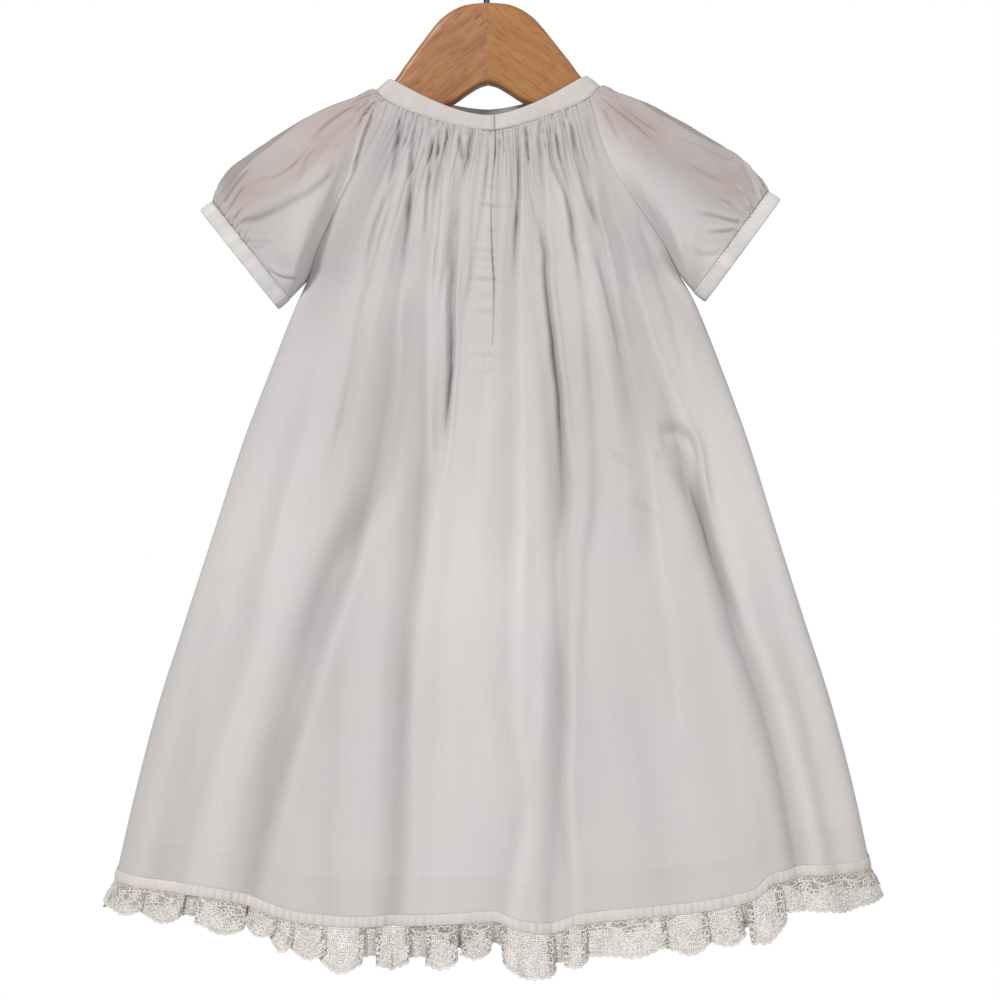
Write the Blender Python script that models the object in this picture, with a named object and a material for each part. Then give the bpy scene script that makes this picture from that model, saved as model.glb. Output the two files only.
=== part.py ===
"""Toddler dress with raglan puff sleeves, hanging on a child's wooden hanger.

+Z is up, +X runs to the right sleeve and the placket side faces -Y. The origin
is the bearing point of the hook, where it sits on a rail. Sizes and tables are
in millimetres and a drop is measured down from the point where the neckband
crosses the hanger. Meshes are in metres.
"""

import bpy
import bmesh
import numpy as np
from math import cos, pi, radians, sin

MM = 0.001

# ---------------------------------------------------------------- driving sizes

SHOULDER_BELOW_HOOK = 104.0     # from the hook's bearing point down to drop 0
SEAM_GAP = 0.3                  # between neighbouring pieces
CLOTH = 1.1                     # wall of a single layer
FOLD_GROWTH = 105.0             # fall over which a large fold gets its depth
FOLD_FADE = 60.0
HEM_TURN_UP = 22.0              # height of the doubled hem
DOUBLED_CLOTH = 2.0             # wall of the doubled hem

# Neckband: two lens-shaped rings, seen from above, joined by the band's wall.
BAND_WALL = 1.2
BAND_TOP_HALF_WIDTH = 55.0
BAND_LOW_HALF_WIDTH = 62.5
BAND_TOP_DEPTH = 13.5
BAND_LOW_DEPTH = 14.5
BAND_CREST_TOP_DROP = -1.8      # where the band lies over the hanger's shoulder
BAND_CREST_LOW_DROP = 4.2
BAND_SQUARENESS = 4.0           # exponent of the lens shape
RAGLAN_TOP_HALF_WIDTH = 55.5    # where the raglan seams meet the neckband
SLIT_GAP = 0.6

# Skirt and bodice
UNDERARM_DROP = 110.0
SIDE_HEM_DROP = 436.0
CENTRE_HEM_DROP = 458.0
SLIT_END_ROW = 130.0            # the slit stops at this row of the panel
NECK_BLEND = 36.0               # fall over which the neckline's form fades out

GATHERS_A_PANEL = 36
COLUMNS_A_GATHER = 3
GATHER_DEPTH = 0.75
GATHER_LENGTH = 48.0
GATHERS_A_PLEAT = 3
PLEAT_DEPTH = 2.0
PLEAT_END = 250.0

# Hem trim
HEM_BAND_HEIGHT = 5.5
HEM_SWAY = -5.0                 # how far the hem hangs to the side
LACE_WAVE_DEPTH = 3.4
COLUMNS_A_LOBE = 5

# Sleeves and cuffs
CUFF_TOP = (155.5, 64.0)        # inner edge of the cuff: x, drop
CUFF_BOTTOM = (113.0, 119.5)
CUFF_DEPTH = 9.0
CUFF_WIDTH = 8.5
CUFF_WALL = 1.6
SLEEVE_PUFF = 13.0
SLEEVE_CROWN_RISE = 9.5
NECK_COLUMNS = 14               # columns of half a sleeve that start at the neckband
RAGLAN_SHARE = 0.5              # share of the cuff that the other columns reach
SLEEVE_WALL = 1.3
SEAM_NORMAL_REACH = 0.3         # share of the sleeve over which its normal leaves the seam's
SLEEVE_FOLD_WALL = 4.6          # in the sharp fold at the underarm
SLEEVE_GATHER_DEPTH = 0.7
SLEEVE_FOLD_DEPTH = 1.3

# Hanger and hook
BOARD = 13.0
BOARD_ROUNDING = 3.0
HANGER_CROWN_DROP = -43.7
WIRE = 3.5
HOOK_RADIUS = 18.0              # centre line of the wire
SHANK_HOLE = 4.2
SHANK_DEPTH = 14.0

# The panel's side edge: down the raglan seam to the underarm, then the side seam.
#            drop, half_width, depth
SIDE_EDGE = (
    (11.5, 55.5, 11.37),
    (30.0, 62.0, 12.2),
    (50.0, 71.0, 12.8),
    (76.0, 86.5, 11.2),
    (94.0, 97.0, 6.8),
    (110.0, 104.5, 0.15),
    (125.0, 112.0, 0.15),
    (160.0, 126.0, 0.15),
    (200.0, 141.0, 0.15),
    (250.0, 157.0, 0.15),
    (300.0, 173.0, 0.15),
    (350.0, 189.0, 0.15),
    (400.0, 202.0, 0.15),
    (436.0, 210.0, 0.15),
)

# Each panel: which way it faces, its neckline at the centre and its fullness.
PANELS = {
    "back": {
        "facing": -1.0,
        "neck_top_drop": 21.0,
        "neck_low_drop": 29.5,
        "neck_curve": (19.8, 5.5),
        "seed": 11,
        # fall, depth
        "fullness": ((0.0, 14.5), (35.0, 17.0), (80.0, 21.0), (130.0, 26.0),
                     (230.0, 34.0), (330.0, 41.0), (442.0, 48.0)),
        # name, fall_start, fall_end, across_start, across_end, depth, half_width
        "folds": (
            ("left edge", 150.0, 442.0, -0.86, -0.82, 5.0, 0.058),
            ("left side", 120.0, 330.0, -0.77, -0.80, 4.0, 0.053),
            ("left diagonal", 80.0, 442.0, -0.48, -0.66, 9.0, 0.068),
            ("left inner", 95.0, 442.0, -0.34, -0.31, 7.5, 0.063),
            ("placket left", 100.0, 240.0, -0.18, -0.21, 4.0, 0.058),
            ("centre", 150.0, 442.0, 0.07, 0.03, 6.0, 0.058),
            ("right of centre", 60.0, 442.0, 0.245, 0.19, 11.0, 0.063),
            ("right crease", 80.0, 300.0, 0.43, 0.36, 4.5, 0.053),
            ("right inner", 95.0, 442.0, 0.57, 0.51, 7.0, 0.063),
            ("right side", 90.0, 442.0, 0.69, 0.77, 10.0, 0.068),
        ),
    },
    "front": {
        "facing": 1.0,
        "neck_top_drop": 13.0,
        "neck_low_drop": 23.0,
        "neck_curve": (11.6, 7.2),
        "seed": 29,
        "fullness": ((0.0, 13.5), (35.0, 16.0), (80.0, 19.0), (130.0, 24.0),
                     (230.0, 31.0), (330.0, 38.0), (442.0, 44.0)),
        "folds": (
            ("left edge", 150.0, 442.0, -0.85, -0.84, 5.0, 0.058),
            ("left side", 110.0, 442.0, -0.68, -0.74, 9.0, 0.068),
            ("left inner", 90.0, 442.0, -0.50, -0.54, 7.0, 0.063),
            ("left crease", 70.0, 290.0, -0.36, -0.40, 4.5, 0.053),
            ("left of centre", 80.0, 442.0, -0.20, -0.26, 9.5, 0.063),
            ("centre", 120.0, 442.0, -0.02, 0.02, 6.0, 0.058),
            ("right of centre", 90.0, 442.0, 0.17, 0.24, 8.0, 0.063),
            ("right inner", 100.0, 380.0, 0.38, 0.42, 5.5, 0.058),
            ("right diagonal", 85.0, 442.0, 0.52, 0.62, 9.0, 0.068),
            ("right side", 130.0, 442.0, 0.76, 0.80, 6.0, 0.058),
        ),
    },
}

# Rows of a panel, by their drop at the side edge. The sleeve's columns meet the
# raglan seam at the same drops.
GATHERED_ROWS = (11.5, 16.0, 25.0, 38.0, 58.0)
YOKE_ROWS = (76.0, 94.0, 110.0)
SKIRT_ROWS = (130.0, 155.0, 182.0, 212.0, 244.0, 278.0, 314.0, 350.0, 386.0, 407.0, 414.0,
              436.0)
RAGLAN_DROPS = GATHERED_ROWS + YOKE_ROWS
SLEEVE_COLUMNS = len(RAGLAN_DROPS) - 1 + NECK_COLUMNS
SLEEVE_ROWS = (0.0, 0.07, 0.18, 0.34, 0.52, 0.70, 0.86, 1.0)    # from the neck to the cuff

# How much lower or higher than a smooth curve the back hem hangs. On the front it
# is mirrored.
#            across, extra drop
HEM_SAG = (
    (-1.00, 0.0),
    (-0.89, -2.0),
    (-0.72, -4.5),
    (-0.58, 0.0),
    (-0.48, 4.0),
    (-0.20, 2.0),
    (0.00, 2.5),
    (0.13, 8.0),
    (0.27, 4.0),
    (0.50, 1.0),
    (0.62, 0.0),
    (0.76, -6.5),
    (0.88, -3.0),
    (1.00, 0.0),
)

# The lace hangs in rounded lobes. Each row ends one lobe, seen from the back.
#            across at its right end, how far its middle hangs down, how far it stands out
LACE_LOBES = (
    (-0.91, 3.0, 0.6),
    (-0.77, 5.0, 0.9),
    (-0.66, 6.5, 1.0),
    (-0.58, 6.0, 0.8),
    (-0.53, 3.0, 0.7),
    (-0.45, 6.5, 1.0),
    (-0.34, 8.0, 1.1),
    (-0.23, 8.0, 1.0),
    (-0.12, 7.0, 1.0),
    (-0.02, 6.5, 0.9),
    (0.04, 3.0, 0.6),
    (0.10, 5.5, 0.9),
    (0.17, 3.0, 0.8),
    (0.24, 8.0, 1.1),
    (0.34, 3.0, 0.7),
    (0.43, 4.0, 0.8),
    (0.54, 5.0, 1.0),
    (0.64, 3.5, 0.8),
    (0.75, 6.0, 1.0),
    (0.88, 4.0, 0.9),
    (1.00, 3.0, 0.6),
)

# The lower edge of the lace between the lobes, from the left side seam to the right one.
#            across, drop below the hem band
LACE_DEPTH = (
    (-1.00, 14.0),
    (-0.85, 15.0),
    (-0.60, 19.0),
    (-0.40, 19.5),
    (0.00, 19.0),
    (0.25, 16.5),
    (0.50, 17.0),
    (0.72, 18.0),
    (0.85, 15.5),
    (1.00, 15.0),
)

# Outline of one half of the hanger, in x and drop. The upper edge runs outwards
# from the crown, the lower edge runs back to the notch in the middle.
HANGER_UPPER_EDGE = (
    (6.0, -43.4), (13.0, -42.3), (20.0, -39.2), (26.0, -34.8), (31.0, -29.2),
    (36.0, -22.8), (41.5, -15.6), (46.5, -9.0), (51.0, -2.6), (55.0, 1.6),
    (60.0, 6.2), (68.0, 10.2), (80.0, 14.6), (94.0, 22.4), (108.0, 32.4),
    (122.0, 43.4), (133.0, 52.8),
)
HANGER_LOWER_EDGE = (
    (130.0, 76.0), (116.0, 67.6), (98.0, 53.4), (78.0, 39.4), (58.0, 27.8),
    (40.0, 19.6), (30.0, 15.6), (25.0, 14.0), (20.0, 12.0), (11.0, 6.2), (4.0, 2.2),
)
HANGER_TIP = (133.5, 65.2)
HANGER_TIP_RADIUS = 11.6
NOTCH_DROP = 1.2

COLOURS = {
    # name: (red, green, blue, roughness, metallic)
    "batiste": (0.80, 0.78, 0.76, 0.85, 0.0),
    "sleeve_batiste": (0.78, 0.76, 0.75, 0.85, 0.0),
    "band_batiste": (0.84, 0.82, 0.80, 0.85, 0.0),
    "lace": (0.76, 0.73, 0.67, 0.90, 0.0),
    "pink_wood": (0.47, 0.24, 0.13, 0.45, 0.0),
    "gold_wood": (0.45, 0.22, 0.09, 0.45, 0.0),
    "dark_wire": (0.06, 0.07, 0.09, 0.35, 0.9),
}

# ---------------------------------------------------------------- small helpers


def ease(t):
    """Smooth step from 0 to 1."""
    t = min(max(t, 0.0), 1.0)
    return t * t * (3.0 - 2.0 * t)


def mix(a, b, t):
    return a + (b - a) * t


def unit(v):
    return v / max(np.linalg.norm(v), 1e-12)


def read_curve(table, column, at):
    """Smooth curve through one column of a table, against its first column."""
    xs = [row[0] for row in table]
    ys = [row[column] for row in table]
    last = len(xs) - 1
    if at <= xs[0]:
        return ys[0]
    if at >= xs[last]:
        return ys[last]
    i = max(k for k in range(last) if xs[k] <= at)
    slopes = [(ys[k + 1] - ys[k]) / (xs[k + 1] - xs[k]) for k in range(last)]

    def tangent(k):
        if k == 0:
            return slopes[0]
        if k == last:
            return slopes[last - 1]
        if slopes[k - 1] * slopes[k] <= 0.0:
            return 0.0
        return 2.0 * slopes[k - 1] * slopes[k] / (slopes[k - 1] + slopes[k])

    step = xs[i + 1] - xs[i]
    t = (at - xs[i]) / step
    return ((2 * t**3 - 3 * t**2 + 1) * ys[i] + (t**3 - 2 * t**2 + t) * step * tangent(i)
            + (3 * t**2 - 2 * t**3) * ys[i + 1] + (t**3 - t**2) * step * tangent(i + 1))


def uneven(seed, index):
    """Repeatable number from 0 to 1 for the gather or wave with this index."""
    return (sin(seed * 12.9898 + index * 78.233) * 43758.5453) % 1.0


def place(x, depth, drop):
    """Point in millimetres, with +Z up."""
    return np.array((x, depth, -SHOULDER_BELOW_HOOK - drop))


def material(name):
    found = bpy.data.materials.get(name)
    if found:
        return found
    red, green, blue, roughness, metallic = COLOURS[name]
    made = bpy.data.materials.new(name)
    made.use_nodes = True
    shader = made.node_tree.nodes["Principled BSDF"]
    shader.inputs["Base Color"].default_value = (red, green, blue, 1.0)
    shader.inputs["Roughness"].default_value = roughness
    shader.inputs["Metallic"].default_value = metallic
    made.diffuse_color = (red, green, blue, 1.0)
    return made


def add_object(name, bm, material_name, smooth=True):
    mesh = bpy.data.meshes.new(name)
    bm.to_mesh(mesh)
    bm.free()
    if smooth:
        mesh.shade_smooth()
        mesh.set_sharp_from_angle(angle=radians(50.0))
    mesh.materials.append(material(material_name))
    obj = bpy.data.objects.new(name, mesh)
    bpy.context.scene.collection.objects.link(obj)
    return obj


class Wall:
    """A wall of cloth: outer points, each with its inner point, and the faces between."""

    def __init__(self):
        self.outer = {}
        self.inner = {}
        self.faces = []

    def point(self, key, outer, inner):
        self.outer[key] = outer
        self.inner[key] = inner

    def triangle(self, a, b, c):
        if len({a, b, c}) == 3:
            self.faces.append((a, b, c))

    def cell(self, a, b, c, d):
        self.triangle(a, b, c)
        self.triangle(a, c, d)

    def build(self, name, material_name, flip=False):
        bm = bmesh.new()
        outer = {k: bm.verts.new(p * MM) for k, p in self.outer.items()}
        inner = {k: bm.verts.new(p * MM) for k, p in self.inner.items()}
        faces = [tuple(reversed(f)) for f in self.faces] if flip else self.faces
        edges = set()
        for a, b, c in faces:
            bm.faces.new((outer[a], outer[b], outer[c]))
            bm.faces.new((inner[c], inner[b], inner[a]))
            edges.update(((a, b), (b, c), (c, a)))
        for a, b in sorted(edges, key=str):
            if (b, a) not in edges:
                bm.faces.new((outer[b], outer[a], inner[a], inner[b]))
        bmesh.ops.triangulate(bm, faces=bm.faces[:])
        return add_object(name, bm, material_name)


# ---------------------------------------------------------------- neckband form


def band_ring(angle, half_width, depth):
    """Plan of the band: angle 0 is the centre of the back, 90 degrees the right crest."""
    power = 2.0 / BAND_SQUARENESS
    x = half_width * np.sign(sin(angle)) * abs(sin(angle)) ** power
    y = -depth * np.sign(cos(angle)) * abs(cos(angle)) ** power
    return x, y


def band_panel(angle):
    return PANELS["back"] if cos(angle) >= 0.0 else PANELS["front"]


def band_low_drop(panel, x):
    wide, tight = panel["neck_curve"]
    reach = min(abs(x) / BAND_LOW_HALF_WIDTH, 1.0)
    return panel["neck_low_drop"] - wide * reach**1.45 - tight * reach**12


def band_top_drop(panel, x):
    rise = panel["neck_top_drop"] - BAND_CREST_TOP_DROP
    return panel["neck_top_drop"] - rise * (abs(x) / BAND_TOP_HALF_WIDTH) ** 1.6


def band_edges(angle):
    """Top and bottom outer points of the band at an angle round the neck."""
    panel = band_panel(angle)
    x, y = band_ring(angle, BAND_TOP_HALF_WIDTH, BAND_TOP_DEPTH)
    top = place(x, y, band_top_drop(panel, x))
    x, y = band_ring(angle, BAND_LOW_HALF_WIDTH, BAND_LOW_DEPTH)
    low = place(x, y, band_low_drop(panel, x))
    return top, low


def band_normal(angle):
    step = radians(1.5)
    before_top, before_low = band_edges(angle - step)
    after_top, after_low = band_edges(angle + step)
    top, low = band_edges(angle)
    along = (after_top + after_low) - (before_top + before_low)
    return unit(np.cross(along, top - low))


def band_angle(x):
    """Angle on the back half of the band's lower ring at which it reaches x."""
    share = min(abs(x) / BAND_LOW_HALF_WIDTH, 1.0)
    return np.sign(x) * np.arcsin(share ** (BAND_SQUARENESS / 2.0))


def facing_angle(panel, x):
    """The same angle, on the half of the band above this panel."""
    angle = band_angle(x)
    return angle if panel["facing"] < 0 else pi - angle


def band_width_way(angle):
    """Direction across the band, from its top edge to its bottom edge."""
    top, low = band_edges(angle)
    return unit(low - top)


# ---------------------------------------------------------------- panel form


def panel_length(panel):
    return CENTRE_HEM_DROP - panel["neck_low_drop"]


def fall_at(panel, side_drop):
    """Fall below the neckline at the centre, for the row that has this drop at the side."""
    share = (side_drop - SIDE_EDGE[0][0]) / (SIDE_HEM_DROP - SIDE_EDGE[0][0])
    return share * panel_length(panel)


def side_drop_at(panel, fall):
    return mix(SIDE_EDGE[0][0], SIDE_HEM_DROP, fall / panel_length(panel))


def across_spread(s):
    """Columns stand closer together towards the side seams."""
    return 0.72 * s + 0.28 * sin(s * pi / 2.0)


def panel_base(panel, s, fall):
    """Smooth form of a panel without folds: s runs from -1 to 1 across it."""
    v = fall / panel_length(panel)
    top_side_drop = SIDE_EDGE[0][0]
    side_drop = side_drop_at(panel, fall)
    centre_drop = mix(panel["neck_low_drop"], CENTRE_HEM_DROP, v)
    half_width = read_curve(SIDE_EDGE, 1, side_drop)
    edge_depth = read_curve(SIDE_EDGE, 2, side_drop)
    centre_depth = read_curve(panel["fullness"], 1, fall)
    across = across_spread(s)
    x = half_width * across + HEM_SWAY * ease((side_drop - 150.0) / 290.0)
    drop = mix(side_drop, centre_drop, 1.0 - abs(across) ** mix(1.45, 2.2, v))
    drop += read_curve(HEM_SAG, 1, across * -panel["facing"]) * ease((v - 0.5) / 0.5)
    closing = ease((side_drop - 88.0) / 44.0)
    round_power = mix(1.0, 2.3, closing)
    section = max(1.0 - abs(across) ** 2.6, 0.0) ** (1.0 / round_power)
    depth = mix(edge_depth, centre_depth, section)
    neck = 1.0 - ease(fall / NECK_BLEND)
    if neck > 0.0:
        reach = abs(RAGLAN_TOP_HALF_WIDTH * across) / BAND_LOW_HALF_WIDTH
        band_depth = BAND_LOW_DEPTH * (1.0 - reach**BAND_SQUARENESS) ** (1.0 / BAND_SQUARENESS)
        band_drop = band_low_drop(panel, RAGLAN_TOP_HALF_WIDTH * across)
        top_drop = mix(top_side_drop, panel["neck_low_drop"], 1.0 - abs(across) ** 1.45)
        depth = mix(depth, band_depth, neck)
        drop += neck * (band_drop - top_drop)
    return place(x, panel["facing"] * depth, drop)


def panel_normal(panel, s, fall):
    """Outward normal of the smooth form."""
    if abs(s) > 0.9999 and fall > 0.0:
        below_underarm = ease((side_drop_at(panel, fall) - UNDERARM_DROP + 12.0) / 12.0)
        inside = panel_normal(panel, s * 0.992, fall)
        return unit(mix(inside, np.array((np.sign(s), 0.0, 0.0)), below_underarm))
    ds = 0.004
    df = 1.5
    low_s, high_s = max(s - ds, -1.0), min(s + ds, 1.0)
    low_f = max(fall - df, 0.0)
    along = panel_base(panel, high_s, fall) - panel_base(panel, low_s, fall)
    down = panel_base(panel, s, fall + df) - panel_base(panel, s, low_f)
    return unit(np.cross(down, along)) * -panel["facing"]


def edge_fade(s):
    """Folds flatten out before the side seams, so that front and back meet."""
    return 1.0 - abs(s) ** 10


def fold_relief(panel, s, fall):
    """Depth of the large folds, negative in a valley."""
    relief = 0.0
    for name, start, end, across_start, across_end, depth, half_width in panel["folds"]:
        along = (fall - start) / (end - start)
        grow = ease((fall - start) / FOLD_GROWTH)
        reaches_hem = end > panel_length(panel) - 10.0
        fade = 1.0 if reaches_hem else 1.0 - ease((fall - end + FOLD_FADE) / FOLD_FADE)
        middle = mix(across_start, across_end, min(max(along, 0.0), 1.0))
        valley = 1.0 / (1.0 + ((s - middle) / half_width) ** 2)
        relief -= depth * grow * fade * (valley - 0.25 * valley**0.5)
    return relief


def gather_relief(panel, s, fall):
    """Fine gathers at the neckband, which run out over GATHER_LENGTH."""
    phase = (s + 1.0) / 2.0 * GATHERS_A_PANEL
    strength = 0.7 + 0.6 * uneven(panel["seed"], int(round(phase)))
    rise = mix(0.6, 1.0, ease(fall / 12.0))
    fade = 1.0 - ease((fall - 10.0) / (GATHER_LENGTH - 10.0))
    return -GATHER_DEPTH * strength * rise * fade * cos(2.0 * pi * phase)


def pleat_relief(panel, s, fall):
    """Below the neck the gathers run together into pleats, which fade into the skirt."""
    phase = (s + 1.0) / 2.0 * GATHERS_A_PANEL / GATHERS_A_PLEAT
    pleat = int(round(phase))
    strength = 0.55 + 0.9 * uneven(panel["seed"] + 5, pleat)
    length = PLEAT_END * (0.6 + 0.4 * uneven(panel["seed"] + 9, pleat))
    rise = ease((fall - 8.0) / 50.0)
    fade = 1.0 - ease((fall - 60.0) / (length - 60.0))
    return -PLEAT_DEPTH * strength * rise * fade * cos(2.0 * pi * phase)


def panel_wall_thickness(panel, fall):
    """Single cloth, doubled where the hem is turned up."""
    doubled = ease((fall - panel_length(panel) + HEM_TURN_UP + 6.0) / 6.0)
    gathered = 1.0 - ease((fall - 20.0) / 40.0)
    return mix(CLOTH, DOUBLED_CLOTH, doubled) + 0.35 * gathered


def panel_relief(panel, s, fall):
    total = fold_relief(panel, s, fall) + gather_relief(panel, s, fall)
    return (total + pleat_relief(panel, s, fall)) * edge_fade(s)


def panel_points(panel, s, fall):
    """Outer and inner point of a panel's wall."""
    base = panel_base(panel, s, fall)
    normal = panel_normal(panel, s, fall)
    if fall <= 0.0:
        angle = facing_angle(panel, base[0])
        normal = band_normal(angle)
        base = base + band_width_way(angle) * SEAM_GAP
    edge = abs(s) > 0.9999
    side_drop = side_drop_at(panel, fall)
    if edge and side_drop < UNDERARM_DROP - 1.0:
        seam_normal, toward_sleeve = seam_frame(panel, np.sign(s), side_drop)
        base = base - toward_sleeve * SEAM_GAP / 2.0
        if fall > 0.0:
            normal = seam_normal
    outer = base + normal * panel_relief(panel, s, fall)
    return outer, outer - normal * panel_wall_thickness(panel, fall)


def build_panel(kind):
    panel = PANELS[kind]
    wall = Wall()
    fine = GATHERS_A_PANEL * COLUMNS_A_GATHER
    slit = kind == "back"
    rows = [(drop, fine) for drop in GATHERED_ROWS]
    rows += [(drop, GATHERS_A_PANEL) for drop in YOKE_ROWS + SKIRT_ROWS]

    def key(row, column, side):
        """The slit's column has one point on each side of it, down to its end."""
        side_drop, count = rows[row]
        on_slit = slit and column * 2 == count and side_drop < SLIT_END_ROW
        return (row, column, side if on_slit else 0)

    def add(row, column, side):
        name = key(row, column, side)
        if name in wall.outer:
            return name
        side_drop, count = rows[row]
        s = -1.0 + 2.0 * column / count
        outer, inner = panel_points(panel, s, fall_at(panel, side_drop))
        if name[2]:
            shift = np.array((name[2] * SLIT_GAP / 2.0, 0.0, 0.0))
            outer, inner = outer + shift, inner + shift
        wall.point(name, outer, inner)
        return name

    for row in range(len(rows) - 1):
        count, next_count = rows[row][1], rows[row + 1][1]
        ratio = count // next_count
        for column in range(next_count):
            left = -1 if (column + 0.5) * 2 < next_count else 1
            low_left = add(row + 1, column, left)
            low_right = add(row + 1, column + 1, left)
            tops = [add(row, column * ratio + k, left) for k in range(ratio + 1)]
            if ratio == 1:
                wall.cell(tops[0], low_left, low_right, tops[1])
            else:
                wall.triangle(tops[0], low_left, tops[1])
                wall.triangle(low_left, low_right, tops[1])
                wall.triangle(tops[1], low_right, tops[2])
                wall.triangle(tops[2], low_right, tops[3])
    return wall.build(kind + "_panel", "batiste", flip=panel["facing"] > 0)


def build_placket_strip():
    """Underlap behind the slit, sewn to its right edge and passing under the left one."""
    panel = PANELS["back"]
    wall = Wall()
    side_drops = (14.0,) + RAGLAN_DROPS[2:] + (SLIT_END_ROW + 6.0,)
    widths = (-8.0, -3.0, 2.5, 5.0)
    for row, side_drop in enumerate(side_drops):
        fall = fall_at(panel, side_drop)
        half_width = read_curve(SIDE_EDGE, 1, side_drop) * 1.16
        for column, x in enumerate(widths):
            s = x / half_width
            normal = panel_normal(panel, s, fall)
            valleys = min(panel_relief(panel, s + k * 0.01, fall) for k in range(-3, 4))
            inside = panel_wall_thickness(panel, fall) + SEAM_GAP - min(valleys, 0.0)
            outer = panel_base(panel, s, fall) - normal * (inside + 0.15)
            wall.point((row, column), outer, outer - normal * CLOTH)
    for row in range(len(side_drops) - 1):
        for column in range(len(widths) - 1):
            wall.cell((row, column), (row + 1, column), (row + 1, column + 1), (row, column + 1))
    return wall.build("placket_strip", "band_batiste")


# ---------------------------------------------------------------- hem trim


def hem_frame(panel, s):
    """Outer point, normal and downward direction at the hem of a panel."""
    fall = panel_length(panel)
    outer, inner = panel_points(panel, s, fall)
    above, _ = panel_points(panel, s, fall - 8.0)
    return outer, unit(outer - inner), unit(outer - above)


def hem_chord(panel, s):
    """The same frame on the straight line between two columns of the hem band."""
    position = (s + 1.0) / 2.0 * GATHERS_A_PANEL
    column = min(int(position), GATHERS_A_PANEL - 1)
    left = hem_frame(panel, -1.0 + 2.0 * column / GATHERS_A_PANEL)
    right = hem_frame(panel, -1.0 + 2.0 * (column + 1) / GATHERS_A_PANEL)
    return [mix(a, b, position - column) for a, b in zip(left, right)]


def build_hem_band(kind):
    panel = PANELS[kind]
    wall = Wall()
    for column in range(GATHERS_A_PANEL + 1):
        s = -1.0 + 2.0 * column / GATHERS_A_PANEL
        outer, normal, down = hem_frame(panel, s)
        for row, distance in enumerate((SEAM_GAP, HEM_BAND_HEIGHT)):
            point = outer + down * distance
            wall.point((row, column), point, point - normal * 1.4)
    for column in range(GATHERS_A_PANEL):
        wall.cell((0, column), (1, column), (1, column + 1), (0, column + 1))
    return wall.build("hem_band_" + kind, "band_batiste", flip=panel["facing"] > 0)


def build_lace(kind):
    """Gathered edging: a wall whose lobes grow towards its lower edge."""
    panel = PANELS[kind]
    wall = Wall()
    side = -panel["facing"]
    columns = len(LACE_LOBES) * COLUMNS_A_LOBE
    shares = (0.0, 0.45, 1.0)
    for column in range(columns + 1):
        lobe = min(column // COLUMNS_A_LOBE, len(LACE_LOBES) - 1)
        end, hang, stand = LACE_LOBES[lobe]
        start = LACE_LOBES[lobe - 1][0] if lobe else -1.0
        along = column / COLUMNS_A_LOBE - lobe
        across = mix(start, end, along)
        outer, normal, down = hem_chord(panel, side * across)
        swell = sin(pi * along) ** 0.7 if 0.0 < along < 1.0 else 0.0
        height = read_curve(LACE_DEPTH, 1, across) + hang * swell
        for row, share in enumerate(shares):
            swing = LACE_WAVE_DEPTH * stand * mix(0.25, 1.0, share) * edge_fade(across)
            reach = HEM_BAND_HEIGHT + SEAM_GAP + share * height
            point = outer + down * reach + normal * (2.0 * swell - 1.0) * swing
            wall.point((row, column), point, point - normal * mix(1.2, 1.6, share))
    for column in range(columns):
        for row in range(len(shares) - 1):
            wall.cell((row, column), (row + 1, column), (row + 1, column + 1), (row, column + 1))
    return wall.build("lace_" + kind, "lace")


# ---------------------------------------------------------------- neckband


def build_neckband():
    wall = Wall()
    steps = 64
    slit = SLIT_GAP / 2.0 / BAND_TOP_HALF_WIDTH
    start = slit ** (BAND_SQUARENESS / 2.0)
    for column in range(steps + 1):
        angle = mix(start, 2.0 * pi - start, column / steps)
        top, low = band_edges(angle)
        if column in (0, steps):
            side = SLIT_GAP / 2.0 if column == 0 else -SLIT_GAP / 2.0
            top[0] = side
            low[0] = side
        normal = band_normal(angle)
        wall.point((0, column), top, top - normal * BAND_WALL)
        wall.point((1, column), low, low - normal * BAND_WALL)
    for column in range(steps):
        wall.cell((0, column), (1, column), (1, column + 1), (0, column + 1))
    return wall.build("neckband", "band_batiste")


# ---------------------------------------------------------------- sleeve form


def raglan_point(panel, side, drop):
    x = read_curve(SIDE_EDGE, 1, drop)
    depth = read_curve(SIDE_EDGE, 2, drop)
    return place(side * x, panel["facing"] * depth, drop)


def raglan_drop(column):
    """Drop at which a column of the sleeve meets the raglan seam, column 0 at the underarm."""
    return float(np.interp(column, range(len(RAGLAN_DROPS)), RAGLAN_DROPS[::-1]))


def sleeve_start(panel, side, column):
    """The sleeve's upper edge: up the raglan seam, then along the neckband to its crest."""
    seam_columns = len(RAGLAN_DROPS) - 1
    if column <= seam_columns:
        return raglan_point(panel, side, raglan_drop(column))
    seam_angle = band_angle(RAGLAN_TOP_HALF_WIDTH)
    angle = mix(seam_angle, pi / 2.0, (column - seam_columns) / NECK_COLUMNS)
    x, y = band_ring(angle, BAND_LOW_HALF_WIDTH, BAND_LOW_DEPTH)
    return place(side * x, -panel["facing"] * y, band_low_drop(panel, x))


def cuff_section(panel, side, a):
    """Half of the flattened ring where the sleeve meets the cuff."""
    along = mix(a, (1.0 - cos(pi * a)) / 2.0, 0.6)
    swing = max(1.0 - abs(2.0 * along - 1.0) ** 2.4, 0.0) ** (1.0 / 2.4)
    x = mix(CUFF_BOTTOM[0], CUFF_TOP[0], along)
    drop = mix(CUFF_BOTTOM[1], CUFF_TOP[1], along)
    return place(side * x, panel["facing"] * CUFF_DEPTH * swing, drop)


def cuff_share(column):
    """How far up the cuff a column ends: the raglan seam's columns take its lower part."""
    seam_columns = len(RAGLAN_DROPS) - 1
    if column <= seam_columns:
        return RAGLAN_SHARE * (column / seam_columns) ** 0.8
    return mix(RAGLAN_SHARE, 1.0, (column - seam_columns) / NECK_COLUMNS)


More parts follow.
